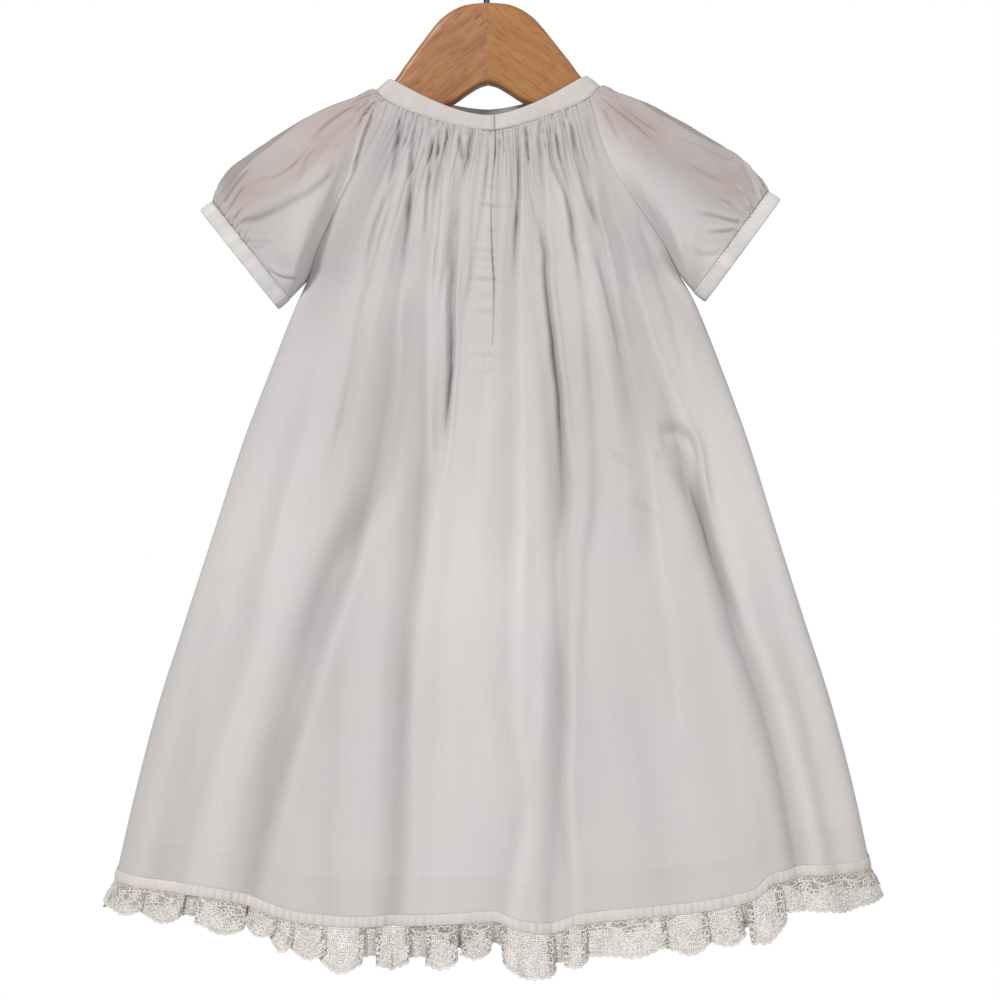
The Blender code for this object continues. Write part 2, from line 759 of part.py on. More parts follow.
def sleeve_base(panel, side, column, b):
    """Smooth form of half a sleeve: columns from underarm to crest, b from neck to cuff."""
    a = cuff_share(column)
    start = sleeve_start(panel, side, column)
    end = cuff_section(panel, side, a)
    point = mix(start, end, b)
    hump = sin(pi * b**1.25) ** 1.2 if 0.0 < b < 1.0 else 0.0
    early = b**0.72
    rise = SLEEVE_CROWN_RISE * 4.0 * early * (1.0 - early) * a**1.5
    point = point + np.array((side * 0.35 * rise, 0.0, 0.93 * rise))
    section = max(1.0 - abs(2.0 * a - 1.0) ** 2.4, 0.0) ** (1.0 / 2.4)
    point[1] += panel["facing"] * SLEEVE_PUFF * hump * section
    return point


def sleeve_normal(panel, side, column, b):
    """Outward normal; on the crest and at the underarm it has no depth."""
    low_b, high_b = max(b - 0.02, 0.0), min(b + 0.02, 1.0)
    out = sleeve_base(panel, side, column, high_b) - sleeve_base(panel, side, column, low_b)
    if column >= SLEEVE_COLUMNS:
        return unit(np.array((-side * out[2], 0.0, abs(out[0]))))
    if column <= 0:
        return unit(np.array((side * 0.25, 0.0, -1.0)))
    low, high = max(column - 0.2, 0.0), min(column + 0.2, SLEEVE_COLUMNS)
    up = sleeve_base(panel, side, high, b) - sleeve_base(panel, side, low, b)
    return unit(np.cross(out, up)) * -panel["facing"] * side


def seam_frame(panel, side, drop):
    """Shared normal of body and sleeve on the raglan seam, and the way to the sleeve."""
    body = panel_normal(panel, side * 0.985, max(fall_at(panel, drop), 0.01))
    normal = unit(body + np.array((0.0, panel["facing"], 0.0)))
    tangent = raglan_point(panel, side, drop + 1.0) - raglan_point(panel, side, drop - 1.0)
    toward = unit(np.cross(normal, tangent))
    if toward[0] * side < 0.0:
        toward = -toward
    return normal, toward


def sleeve_relief(panel, side, column, b):
    """Gathers at the neck and at the cuff, and the soft folds that join them."""
    swing = 1.0 if column % 2 else -1.0
    pair_swing = 1.0 if (column // 2) % 2 else -1.0
    strength = 0.6 + 0.7 * uneven(panel["seed"] + 2 * side, column)
    on_neck = ease((column - len(RAGLAN_DROPS) + 1) / 2.0)
    neck = on_neck * (1.0 - ease(b / 0.35))
    cuff = ease((b - 0.70) / 0.26)
    middle = on_neck * ease(b / 0.3) * (1.0 - ease((b - 0.45) / 0.4))
    away = ease(min(column, SLEEVE_COLUMNS - column) / 2.5)
    fine = SLEEVE_GATHER_DEPTH * swing * (neck + cuff)
    soft = SLEEVE_FOLD_DEPTH * pair_swing * middle
    return (fine + soft) * strength * away


def sleeve_points(panel, side, column, b):
    base = sleeve_base(panel, side, column, b)
    normal = sleeve_normal(panel, side, column, b)
    seam_columns = len(RAGLAN_DROPS) - 1
    if b <= 0.0 and column == 0:
        toward = unit(np.array((side, 0.0, 0.25)))
        normal = unit(np.array((side * 0.45, 0.0, -1.0)))
        base = base * np.array((1.0, 0.0, 1.0)) + toward * SEAM_GAP * 1.5
    elif 0 < column <= seam_columns:
        seam_normal, toward = seam_frame(panel, side, raglan_drop(column))
        normal = unit(mix(seam_normal, normal, ease(b / SEAM_NORMAL_REACH)))
        if b <= 0.0:
            base = base + toward * SEAM_GAP / 2.0
    if b <= 0.0 and column >= seam_columns:
        angle = facing_angle(panel, sleeve_start(panel, side, column)[0])
        normal = band_normal(angle)
        base = base + band_width_way(angle) * SEAM_GAP
    outer = base + normal * sleeve_relief(panel, side, column, b)
    folded = mix(SLEEVE_FOLD_WALL, SLEEVE_WALL + 0.3, ease(b / 0.4))
    return outer, outer - normal * (folded if column == 0 else SLEEVE_WALL)


def build_sleeve(name, side):
    wall = Wall()
    count = SLEEVE_COLUMNS

    def key(row, step):
        """Steps go up the back half from the underarm and down the front half."""
        return (row, step % (2 * count))

    for row, b in enumerate(SLEEVE_ROWS):
        for step in range(2 * count):
            back_half = step <= count
            panel = PANELS["back"] if back_half else PANELS["front"]
            column = step if back_half else 2 * count - step
            outer, inner = sleeve_points(panel, side, column, b)
            wall.point(key(row, step), outer, inner)
    for row in range(len(SLEEVE_ROWS) - 1):
        for step in range(2 * count):
            low, next_low = key(row + 1, step), key(row + 1, step + 1)
            wall.cell(key(row, step), low, next_low, key(row, step + 1))
    return wall.build(name, "sleeve_batiste", flip=side < 0)


def build_cuff(name, side):
    wall = Wall()
    count = 14
    top = np.array((side * CUFF_TOP[0], 0.0, -CUFF_TOP[1]))
    bottom = np.array((side * CUFF_BOTTOM[0], 0.0, -CUFF_BOTTOM[1]))
    way = unit(top - bottom)
    outward = np.array((-way[2] * side, 0.0, way[0] * side))
    if outward[0] * side < 0.0:
        outward = -outward
    middle = mix(cuff_section(PANELS["back"], side, 0.0), cuff_section(PANELS["back"], side, 1.0), 0.5)
    for step in range(2 * count):
        back_half = step <= count
        panel = PANELS["back"] if back_half else PANELS["front"]
        a = step / count if back_half else 2.0 - step / count
        ring = cuff_section(panel, side, a)
        before = cuff_section(panel, side, max(a - 0.02, 0.0))
        after = cuff_section(panel, side, min(a + 0.02, 1.0))
        normal = unit(np.cross(after - before, outward))
        if np.dot(normal, ring - middle) < 0.0:
            normal = -normal
        if a in (0.0, 1.0):
            normal = way if a == 1.0 else -way
        for row, distance in enumerate((SEAM_GAP, CUFF_WIDTH)):
            point = ring + outward * distance + normal * 0.2
            wall.point((row, step), point, point - normal * CUFF_WALL)
    for step in range(2 * count):
        following = (step + 1) % (2 * count)
        wall.cell((0, step), (1, step), (1, following), (0, following))
    return wall.build(name, "band_batiste", flip=side < 0)


# ---------------------------------------------------------------- hanger and hook


def hanger_outline():
    tip_x, tip_drop = HANGER_TIP
    start, end = 50.0, -105.0
    tip = []
    for k in range(1, 6):
        angle = radians(mix(start, end, k / 6.0))
        x = tip_x + HANGER_TIP_RADIUS * cos(angle)
        tip.append((x, tip_drop - HANGER_TIP_RADIUS * sin(angle)))
    crown = ((SEAM_GAP / 2.0, HANGER_CROWN_DROP),)
    notch = ((SEAM_GAP / 2.0, NOTCH_DROP),)
    return crown + HANGER_UPPER_EDGE + tuple(tip) + HANGER_LOWER_EDGE + notch


def build_hanger_half(name, side, material_name, hole):
    bm = bmesh.new()
    flat = [place(side * x, -BOARD / 2.0, drop) * MM for x, drop in hanger_outline()]
    corners = [bm.verts.new(point) for point in flat]
    face = bm.faces.new(corners)
    grown = bmesh.ops.extrude_face_region(bm, geom=[face])
    moved = [item for item in grown["geom"] if isinstance(item, bmesh.types.BMVert)]
    bmesh.ops.translate(bm, verts=moved, vec=(0.0, BOARD * MM, 0.0))
    bmesh.ops.recalc_face_normals(bm, faces=bm.faces[:])
    glue_plane = SEAM_GAP * MM
    rounded = []
    for edge in bm.edges:
        ends = [v.co for v in edge.verts]
        on_face = abs(ends[0].y - ends[1].y) < 1e-9
        on_glue_plane = all(abs(co.x) < glue_plane for co in ends)
        if on_face and not on_glue_plane:
            rounded.append(edge)
    bmesh.ops.bevel(bm, geom=rounded, offset=BOARD_ROUNDING * MM, segments=2, profile=0.5,
                    affect="EDGES", clamp_overlap=True, material=-1)
    obj = add_object(name, bm, material_name)
    cut = obj.modifiers.new("shank hole", "BOOLEAN")
    cut.operation = "DIFFERENCE"
    cut.object = hole
    return obj


def build_shank_hole():
    bm = bmesh.new()
    bmesh.ops.create_cone(bm, cap_ends=True, segments=12, radius1=SHANK_HOLE / 2.0 * MM,
                          radius2=SHANK_HOLE / 2.0 * MM, depth=2.0 * (SHANK_DEPTH + 0.5) * MM)
    obj = add_object("shank_hole", bm, "dark_wire")
    obj.location = (0.0, 0.0, (-SHOULDER_BELOW_HOOK - HANGER_CROWN_DROP) * MM)
    obj.hide_render = True
    obj.display_type = "WIRE"
    return obj


def build_hook():
    """Wire hook: its shank stands in the crown, its bend starts right and ends left."""
    crown = -SHOULDER_BELOW_HOOK - HANGER_CROWN_DROP
    centre = WIRE / 2.0 - HOOK_RADIUS
    first, last = radians(-48.0), radians(192.0)
    joint = np.array((HOOK_RADIUS * cos(first), centre + HOOK_RADIUS * sin(first)))
    heading = np.array((-sin(first), cos(first)))
    foot = np.array((0.0, crown - SHANK_DEPTH))
    neck = np.array((0.0, crown + 9.0))
    points = [foot, mix(foot, neck, 0.6), neck]
    reach = 11.0
    for k in range(1, 7):
        t = k / 7.0
        above_neck = neck + np.array((0.0, reach))
        before_joint = joint - heading * reach
        leaving = (1 - t)**3 * neck + 3 * (1 - t)**2 * t * above_neck
        points.append(leaving + 3 * (1 - t) * t**2 * before_joint + t**3 * joint)
    for k in range(19):
        angle = mix(first, last, k / 18.0)
        points.append(np.array((HOOK_RADIUS * cos(angle), centre + HOOK_RADIUS * sin(angle))))
    curve = bpy.data.curves.new("hook", "CURVE")
    curve.dimensions = "3D"
    curve.bevel_depth = WIRE / 2.0 * MM
    curve.bevel_resolution = 2
    curve.use_fill_caps = True
    spline = curve.splines.new("POLY")
    spline.points.add(len(points) - 1)
    for target, (x, z) in zip(spline.points, points):
        target.co = (x * MM, 0.0, z * MM, 1.0)
    curve.materials.append(material("dark_wire"))
    obj = bpy.data.objects.new("hook", curve)
    bpy.context.scene.collection.objects.link(obj)
    return obj


# ---------------------------------------------------------------- assembly


def main():
    for obj in list(bpy.data.objects):
        bpy.data.objects.remove(obj, do_unlink=True)
    for kind in PANELS:
        build_panel(kind)
        build_hem_band(kind)
        build_lace(kind)
    build_placket_strip()
    build_neckband()
    for name, side in (("left", -1.0), ("right", 1.0)):
        build_sleeve("sleeve_" + name, side)
        build_cuff("cuff_" + name, side)
    hole = build_shank_hole()
    build_hanger_half("hanger_left", -1.0, "pink_wood", hole)
    build_hanger_half("hanger_right", 1.0, "gold_wood", hole)
    build_hook()


main()
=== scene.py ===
import math

import bmesh
import bpy
import numpy as np
from mathutils import Matrix, Vector


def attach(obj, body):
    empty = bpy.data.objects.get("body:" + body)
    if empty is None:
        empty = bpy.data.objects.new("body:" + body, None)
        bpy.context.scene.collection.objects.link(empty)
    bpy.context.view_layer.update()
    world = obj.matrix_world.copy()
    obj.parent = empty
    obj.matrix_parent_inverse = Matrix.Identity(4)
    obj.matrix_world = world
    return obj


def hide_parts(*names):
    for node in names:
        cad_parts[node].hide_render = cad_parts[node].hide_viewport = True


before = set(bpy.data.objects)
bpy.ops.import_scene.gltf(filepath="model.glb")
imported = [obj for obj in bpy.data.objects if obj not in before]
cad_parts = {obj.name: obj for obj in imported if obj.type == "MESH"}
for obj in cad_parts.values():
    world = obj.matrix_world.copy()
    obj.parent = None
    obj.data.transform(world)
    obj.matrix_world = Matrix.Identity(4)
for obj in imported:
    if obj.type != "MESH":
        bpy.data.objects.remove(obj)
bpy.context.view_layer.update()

# Toddler dress of white batiste with a lace hem, on a child's wooden hanger.
# Sizes are in millimetres. A drop is measured down from the point where the
# neckband crosses the hanger; meshes are made in metres.

MM = 0.001
SHOULDER_BELOW_HOOK = 104

# ------------------------------------------------------------ sizes of the dress

BAND_TOP_HALF_WIDTH = 55
BAND_LOW_HALF_WIDTH = 62.5
BAND_TOP_DEPTH = 13.5
BAND_LOW_DEPTH = 14.5
BAND_CREST_TOP_DROP = -1.8
BAND_SQUARENESS = 4
RAGLAN_TOP_HALF_WIDTH = 55.5
SIDE_HEM_DROP = 436
CENTRE_HEM_DROP = 458
NECK_BLEND = 36
HEM_TURN_UP = 22
HEM_BAND_HEIGHT = 5.5
GATHERS_A_PANEL = 36
CUFF_TOP = (155.5, 64)
CUFF_BOTTOM = (113, 119.5)
CUFF_DEPTH = 9
CUFF_WIDTH = 8.5
SLEEVE_PUFF = 13
SLEEVE_CROWN_RISE = 9.5
NECK_COLUMNS = 14
RAGLAN_SHARE = 0.5
RAGLAN_DROPS = (11.5, 16, 25, 38, 58, 76, 94, 110)
SEAM_COLUMNS = len(RAGLAN_DROPS) - 1
SLEEVE_COLUMNS = SEAM_COLUMNS + NECK_COLUMNS

# Side edge of a panel: down the raglan seam to the underarm, then the side seam.
#            drop, half_width, depth
SIDE_EDGE = (
    (11.5, 55.5, 11.37),
    (30, 62, 12.2),
    (50, 71, 12.8),
    (76, 86.5, 11.2),
    (94, 97, 6.8),
    (110, 104.5, 0.02),
    (125, 112, 0.02),
    (160, 126, 0.02),
    (200, 141, 0.02),
    (250, 157, 0.02),
    (300, 173, 0.02),
    (350, 189, 0.02),
    (400, 202, 0.02),
    (436, 210, 0.02),
)

# How far the dress hangs to one side.
#            drop, shift
SWAY = (
    (11.5, -1),
    (30, -2.5),
    (50, -3),
    (76, -1.5),
    (110, 1),
    (125, 1.5),
    (200, 0),
    (300, -2.4),
    (400, -4),
    (440, -5),
)

PANELS = {
    "back": {
        "facing": -1,
        "neck_top_drop": 21,
        "neck_low_drop": 29.5,
        "neck_curve": (19.8, 5.5),
        "fullness": ((0, 14.5), (35, 17), (80, 21), (130, 26),
                     (230, 34), (330, 41), (442, 48)),
        "seed": 11,
    },
    "front": {
        "facing": 1,
        "neck_top_drop": 13,
        "neck_low_drop": 23,
        "neck_curve": (11.6, 7.2),
        "fullness": ((0, 13.5), (35, 16), (80, 19), (130, 24),
                     (230, 31), (330, 38), (442, 44)),
        "seed": 29,
    },
}

# Main creases of the back: depth and half width at the top and at the bottom, how
# far the fold leans over, and its course as (drop, x).
CREASES = (
    ("deep", 2.2, 4.2, 3, 7.5, 1.6,
     ((34, 27), (74, 27.8), (100, 27.4), (128, 29.7), (162, 32.5), (196, 35), (235, 37),
      (274, 32), (313, 33), (352, 34), (392, 32), (480, 36))),
    ("centre", 1.8, 4.2, 2.6, 8, 0.8,
     ((36, 15.6), (74, 13.3), (100, 12.8), (128, 12.3), (162, 12), (234, 10), (273, 7.5),
      (352, 7), (391, 10.5), (480, -3))),
    ("placket", 1.5, 2.4, 2.4, 4.5, 1.2,
     ((50, -15.5), (82, -19.9), (150, -21.7), (178, -25.5), (212, -31), (250, -36))),
    ("placket_inner", 1.2, 0.6, 2, 3, 0.4,
     ((34, -3.5), (74, -6.9), (100, -9), (128, -14), (152, -17))),
    ("left_first", 1.4, 1, 2.2, 4, 0.5,
     ((34, -12), (74, -18.7), (100, -23), (128, -28.5), (155, -31.5))),
    ("left_second", 1.8, 3.6, 2.6, 8, 0.8,
     ((34, -27), (74, -30.4), (100, -34.8), (128, -38.6), (161, -40), (233, -40.5),
      (273, -44), (312, -50), (351, -53), (390, -54), (480, -60))),
    ("left_diagonal", 1.8, 5, 2.6, 10, 1.2,
     ((34, -39.5), (74, -45.5), (100, -48.8), (128, -54.3), (160, -57), (194, -62),
      (233, -70), (272, -82), (311, -98), (350, -110), (389, -122), (460, -142))),
    ("left_third", 1.6, 1.8, 2.6, 6, 0.6,
     ((34, -50), (74, -56.7), (100, -63.9), (128, -71.7), (160, -78), (235, -95))),
    ("right_first", 1.6, 1.8, 2.6, 6, 0.6,
     ((34, 40.5), (74, 44.6), (100, 48.7), (128, 51.5), (196, 54), (242, 55), (274, 49.5),
      (335, 46))),
    ("right_second", 1.6, 3, 2.6, 7, 0.8,
     ((34, 52.5), (74, 56.4), (100, 62.1), (128, 67), (163, 72), (196, 77), (236, 83),
      (275, 86), (314, 92), (370, 95))),
    ("right_diagonal", 1.4, 5.6, 2.6, 10, 1.4,
     ((56, 63), (74, 64.8), (100, 72.7), (128, 79), (163, 90), (188, 98), (230, 109),
      (275, 122), (315, 134), (354, 146), (394, 155), (460, 165))),
    ("right_outer", 1.2, 1.2, 2.6, 5, 0.5,
     ((70, 78.5), (100, 88.4), (128, 96.9), (175, 109))),
    ("left_low", 0.6, 4, 5, 10, 0.8,
     ((130, -90), (160, -98), (190, -107), (232, -120), (271, -131), (330, -146), (370, -160), (460, -186))),
    ("left_edge", 0.6, 3.4, 5, 9, 0.6,
     ((300, -148), (349, -166), (388, -176), (460, -196))),
    ("right_low", 0.6, 3, 5, 10, 0.6,
     ((250, 140), (300, 153), (350, 168), (400, 178), (460, 189))),
    ("right_inner_low", 0.4, 1.2, 6, 10, 0.6,
     ((300, 68), (350, 74), (400, 82), (460, 88))),
)

# Sharper valleys between the gathers of the back, and broad soft ones below:
# depth, half width, shade in the bottom, and the course as (drop, x).
VALLEYS = (
    (4.2, 1.6, 0.22, ((74, 29), (117, 30.4), (139, 32.3), (167, 35.2), (196, 36.9), (232, 37.8))),
    (3.2, 1.4, 0.20, ((84, -20.2), (122, -22.3), (150, -22.8), (178, -24.4), (206, -27.1), (238, -33.8))),
    (1.6, 1.1, 0.14, ((22, 15.9), (64, 14), (103, 12.2), (120, 12))),
    (1.8, 1.2, 0.18, ((20, 33.4), (45, 34.5), (71, 43.6), (94, 46.5), (124, 52))),
    (1.8, 1.2, 0.16, ((20, 46), (40, 47.4), (65, 54), (88, 61), (114, 66.5))),
    (1.6, 0.9, 0.24, ((18, 58.2), (41, 64.3), (56, 69))),
    (1.8, 1.1, 0.20, ((17, -49), (34, -50.2), (46, -52.9), (60, -55.4))),
    (1.6, 1.3, 0.12, ((60, -55.6), (89, -65.4), (112, -71))),
    (1.8, 1.1, 0.16, ((20, -39.4), (40, -42.2), (58, -44.1), (81, -46.2), (108, -51.4))),
    (1.6, 1, 0.14, ((24, -31), (69, -34.3), (98, -37.3))),
    (1.6, 0.8, 0.28, ((31, -17), (38, -16.3), (50, -15))),
    (1.6, 0.9, 0.22, ((26, -10), (41, -12.5), (56, -15.6))),
    (1.4, 0.8, 0.22, ((27, -27.2), (34, -27.8), (48, -29.2))),
    (1.4, 0.8, 0.20, ((22, 28.6), (35, 27.6), (50, 29.4))),
    (1.4, 0.9, 0.20, ((30, 36.8), (39, 38), (56, 43))),
    (1.2, 0.8, 0.18, ((26, 20), (38, 20.4), (52, 21.6))),
    (1.2, 0.8, 0.16, ((24, -22.8), (36, -23.6), (52, -25.4))),
    (1.4, 1, 0.12, ((60, -27), (92, -29.6), (130, -33.4))),
    (1.4, 1.2, 0.12, ((96, 58), (130, 66), (168, 72))),
    (2.6, 8, 0.12, ((170, -56), (228, -66), (273, -92), (340, -114), (396, -129), (470, -142))),
    (1.4, 7, 0.06, ((300, -84), (360, -88), (420, -92), (470, -94))),
    (2.2, 5.5, 0.11, ((190, -36), (239, -40), (306, -49.5), (396, -54), (480, -60))),
    (2.2, 4, 0.10, ((190, 35), (235, 37), (291, 36), (347, 33), (403, 30), (480, 25))),
    (3.2, 5, 0.14, ((196, 92), (222, 104), (245, 117), (301, 130), (352, 147), (424, 163),
                      (470, 170))),
    (1.8, 7, 0.10, ((110, -43), (144, -46.2), (188, -52.6), (245, -57))),
    (1.6, 6, 0.09, ((110, 68), (146, 74.2), (196, 81.7), (225, 86))),
    (0.8, 6.5, 0.05, ((150, 20), (230, 20.5), (320, 19), (480, 17))),
    (0.8, 6, 0.07, ((62, -44), (88, -46), (116, -47))),
    (1.4, 5, 0.05, ((250, -150), (320, -165), (400, -184), (470, -196))),
)

# Wrinkles that cross the back low down at the right: depth of the valley, height of
# the ridge beside it, reach, and the course as (x, drop).
WRINKLES = (
    (2.6, 1.7, 2.4, ((84.4, 204), (92.9, 196.4), (104.1, 196.6), (109.6, 203.4), (112.5, 225),
                     (117.6, 253), (127.7, 286.8), (138, 322))),
    (1.2, 0.8, 1.8, ((86, 214), (94, 206), (102, 209), (105, 222), (107, 240))),
    (0.7, 0.6, 2.2, ((62, 205), (70, 214), (80, 218))),
    (0.6, 0.5, 2, ((72, 232), (84, 240), (94, 254))),
)

# How much lower or higher than a smooth curve the hem of the back hangs.
#            across, extra drop
HEM_SAG = (
    (-1, 0),
    (-0.89, -2),
    (-0.72, -5),
    (-0.60, -2.5),
    (-0.50, 1.5),
    (-0.40, 2),
    (-0.20, -0.5),
    (0, -2),
    (0.045, 1.5),
    (0.14, 5.5),
    (0.22, 1),
    (0.37, 0),
    (0.54, 0.5),
    (0.67, -1),
    (0.72, -7),
    (0.79, -7.5),
    (0.90, -3),
    (1, 1),
)

# The lace hangs in rounded lobes with shorter folds behind, between them.
#            left end, right end, depth in the middle, how far it stands out
LACE_LOBES = (
    (-1, -0.905, 16.4, 0.6),
    (-0.905, -0.793, 17.4, 0.8),
    (-0.757, -0.638, 17.6, 1),
    (-0.630, -0.549, 13, 0.9),
    (-0.556, -0.503, 17, 0.6),
    (-0.509, -0.424, 18.6, 0.9),
    (-0.428, -0.325, 24, 1.1),
    (-0.298, -0.211, 23.6, 1.1),
    (-0.170, -0.090, 24, 1),
    (-0.078, -0.002, 19.6, 0.6),
    (0.016, 0.153, 24.6, 1),
    (0.175, 0.238, 22.8, 1.1),
    (0.242, 0.437, 20.2, 0.8),
    (0.437, 0.546, 21.6, 0.9),
    (0.546, 0.633, 20.6, 0.7),
    (0.645, 0.742, 25.6, 1),
    (0.742, 1, 20.2, 0.7),
)
LACE_STAND = 2.1
LACE_FLAT_DEPTH = 22
NET_CELL = 1.2
NET_YARN = 0.33
SCALLOP = 4.4
LOBE_FOLD = 0.014

# ------------------------------------------------------------ helpers


def ease(t):
    """Smooth step from 0 to 1."""
    t = np.clip(t, 0, 1)
    return t * t * (3 - 2 * t)


def rise(value, start, span):
    """0 up to start and 1 from start + span on, smooth between."""
    return ease((value - start) / span)


def fade(value, start, span):
    """1 up to start and 0 from start + span on."""
    return 1 - rise(value, start, span)


def bell(value, width, power=2):
    """1 at 0, falling off to both sides over about the width."""
    return np.exp(-np.abs(value / width) ** power)


def mix(a, b, t):
    return a + (b - a) * t


def unit(v):
    return v / np.maximum(np.linalg.norm(v, axis=-1, keepdims=True), 1e-12)


def hermite(t, step, start, end, start_slope, end_slope):
    """Cubic over a step from start to end, with their slopes."""
    return ((2 * t**3 - 3 * t**2 + 1) * start + (t**3 - 2 * t**2 + t) * step * start_slope
            + (3 * t**2 - 2 * t**3) * end + (t**3 - t**2) * step * end_slope)


def curve(table, column, at):
    """Smooth curve through one column of a table, against its first column."""
    xs = np.array([float(row[0]) for row in table])
    ys = np.array([float(row[column]) for row in table])
    at = np.clip(np.asarray(at, dtype=float), xs[0], xs[-1])
    slopes = np.diff(ys) / np.diff(xs)
    before, after = slopes[:-1], slopes[1:]
    same_way = before * after > 0
    total = np.where(same_way, before + after, 1)
    tangents = np.concatenate((slopes[:1], np.where(same_way, 2 * before * after / total, 0),
                               slopes[-1:]))
    k = np.clip(np.searchsorted(xs, at, side="right") - 1, 0, len(xs) - 2)
    step = xs[k + 1] - xs[k]
    return hermite((at - xs[k]) / step, step, ys[k], ys[k + 1], tangents[k], tangents[k + 1])


def uneven(seed, index):
    """Repeatable number from 0 to 1."""
    return (np.sin(seed * 12.9898 + np.asarray(index, dtype=float) * 78.233) * 43758.5453) % 1


def wander(seed, x):
    """Smooth random curve from -1 to 1, one swing for each unit of x."""
    k = np.floor(x)
    return 2 * mix(uneven(seed, k), uneven(seed, k + 1), ease(x - k)) - 1


def chance(seed, index):
    return float(uneven(seed, index))


def drift(seed, x, y):
    """Smooth random surface from -1 to 1."""
    i, j = np.floor(x), np.floor(y)
    u, v = ease(x - i), ease(y - j)
    low = mix(uneven(seed + 3.7 * j, i), uneven(seed + 3.7 * j, i + 1), u)
    high = mix(uneven(seed + 3.7 * (j + 1), i), uneven(seed + 3.7 * (j + 1), i + 1), u)
    return 2 * mix(low, high, v) - 1


def place(x, depth, drop):
    """Points in millimetres, with +Z up."""
    x, depth, drop = np.broadcast_arrays(np.asarray(x, dtype=float), depth, drop)
    return np.stack((x, depth, -SHOULDER_BELOW_HOOK - drop), axis=-1)


def drop_of(points):
    return -SHOULDER_BELOW_HOOK - points[..., 2]


def hand(side):
    return "left" if side < 0 else "right"


def flat_grid(along, down):
    """Positions on the flat cut, in millimetres, of a grid's columns and rows."""
    return np.stack(np.broadcast_arrays(along[None, :], down[:, None]), axis=-1)


def turned(normals, way):
    """The normals, or their opposites if most of them look away from the given way."""
    return normals * np.where(np.sum(normals * way) < 0, -1, 1)


def grid_normals(points, wrap=False):
    """Normals of a grid of points; wrap joins its last column to the first."""
    if wrap:
        along = np.roll(points, -1, axis=1) - np.roll(points, 1, axis=1)
    else:
        along = np.gradient(points, axis=1)
    down = np.gradient(points, axis=0)
    return unit(np.cross(down, along))


def path_length(points):
    """Distance along a path, up to each of its points."""
    steps = np.linalg.norm(np.diff(points, axis=0), axis=-1)
    return np.concatenate(((0,), np.cumsum(steps)))


def read_at(where, at, values):
    """Rows of a table of values, read between its rows."""
    return np.stack([np.interp(where, at, values[:, k]) for k in range(values.shape[1])], axis=-1)


def resample(points, count):
    """The same path with evenly spaced points."""
    at = path_length(points)
    return read_at(np.linspace(0, at[-1], count), at, points)


def smooth_path(points, step):
    """Rounded path through its points, with a point about every step millimetres."""
    points = np.asarray(points, dtype=float)
    at = path_length(points)
    tangents = np.gradient(points, at, axis=0)
    fine = []
    for k in range(len(points) - 1):
        span = at[k + 1] - at[k]
        count = max(int(round(span / step)), 1)
        t = (np.arange(count) / count)[:, None]
        fine.append(hermite(t, span, points[k], points[k + 1], tangents[k], tangents[k + 1]))
    return np.concatenate(fine + [points[-1:]])


# ------------------------------------------------------------ making cloth objects


def move_to(verts, points):
    """Moves vertices to points given in millimetres."""
    for vert, co in zip(verts, (points * MM).reshape(-1, 3).tolist()):
        vert.co = co


def lay_patch(bm, points, uv, tint, uv_layer, tint_layer):
    """Adds one grid of cloth to a bmesh and moves it to its points."""
    rows, columns = points.shape[:2]
    start, first_face = len(bm.verts), len(bm.faces)
    bmesh.ops.create_grid(bm, x_segments=columns - 1, y_segments=rows - 1, size=1)
    bm.verts.ensure_lookup_table()
    bm.faces.ensure_lookup_table()
    bm.verts.index_update()
    verts = bm.verts[start:]
    move_to(verts, points)
    for vert, colour in zip(verts, tint.reshape(-1, 3).tolist()):
        vert[tint_layer] = (*colour, 1)
    uvs = (uv * MM).reshape(-1, 2).tolist()
    for face in bm.faces[first_face:]:
        for loop in face.loops:
            loop[uv_layer].uv = uvs[loop.vert.index - start]


def face_towards(bm, way):
    """Turns an open sheet's faces the way that it looks."""
    way = Vector(way)
    if sum(face.normal.dot(way) * face.calc_area() for face in bm.faces) < 0:
        bmesh.ops.reverse_faces(bm, faces=bm.faces[:])


def mesh_from(bm, name):
    mesh = bpy.data.meshes.new(name)
    bm.to_mesh(mesh)
    bm.free()
    return mesh


def link(name, data):
    """Puts an object with this data into the scene, at the origin."""
    obj = bpy.data.objects.new(name, data)
    bpy.context.scene.collection.objects.link(obj)
    return obj


def declare(obj, nodes=()):
    """Hangs the object on the root body and hides the CAD pieces that it stands for."""
    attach(obj, "root")
    if nodes:
        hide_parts(*nodes)
    return obj


def finish_object(name, bm, material, nodes=()):
    mesh = mesh_from(bm, name)
    mesh.shade_smooth()
    mesh.materials.append(material)
    return declare(link(name, mesh), nodes)


def give_wall(obj, thickness):
    """Gives a sheet its real thickness, inwards from its face."""
    solid = obj.modifiers.new("cloth wall", "SOLIDIFY")
    solid.thickness = thickness * MM
    solid.offset = -1
    solid.use_even_offset = False


def sew(name, patches, material, nodes=(), facing=None, wall=0, weld=False):
    """A piece of cloth from patches of (points, uv, tint).

    facing is the way that an open sheet's face looks; without it the piece is a
    tube or a closed shape, whose faces are turned outwards.
    """
    bm = bmesh.new()
    uv_layer = bm.loops.layers.uv.new("cloth")
    # The vertex colour tint holds each piece's own tint and, on the panels, sleeves and bands, its painted
    # shade and painted light.
    tint_layer = bm.verts.layers.float_color.new("tint")
    for points, uv, tint in patches:
        lay_patch(bm, points, uv, tint, uv_layer, tint_layer)
    if weld:
        bmesh.ops.remove_doubles(bm, verts=bm.verts[:], dist=2e-6)
    bm.normal_update()
    if facing is None:
        bmesh.ops.recalc_face_normals(bm, faces=bm.faces[:])
    else:
        face_towards(bm, facing)
    obj = finish_object(name, bm, material, nodes)
    if wall:
        give_wall(obj, wall)
    return obj


def sew_band(name, node, points, at, girth, tint):
    """A folded band from the lines of its section, with the length along it and round it."""
    return sew(name, [(points, flat_grid(at, np.linspace(0, girth, len(points))), tint)],
               band_cloth, (node,), weld=True)


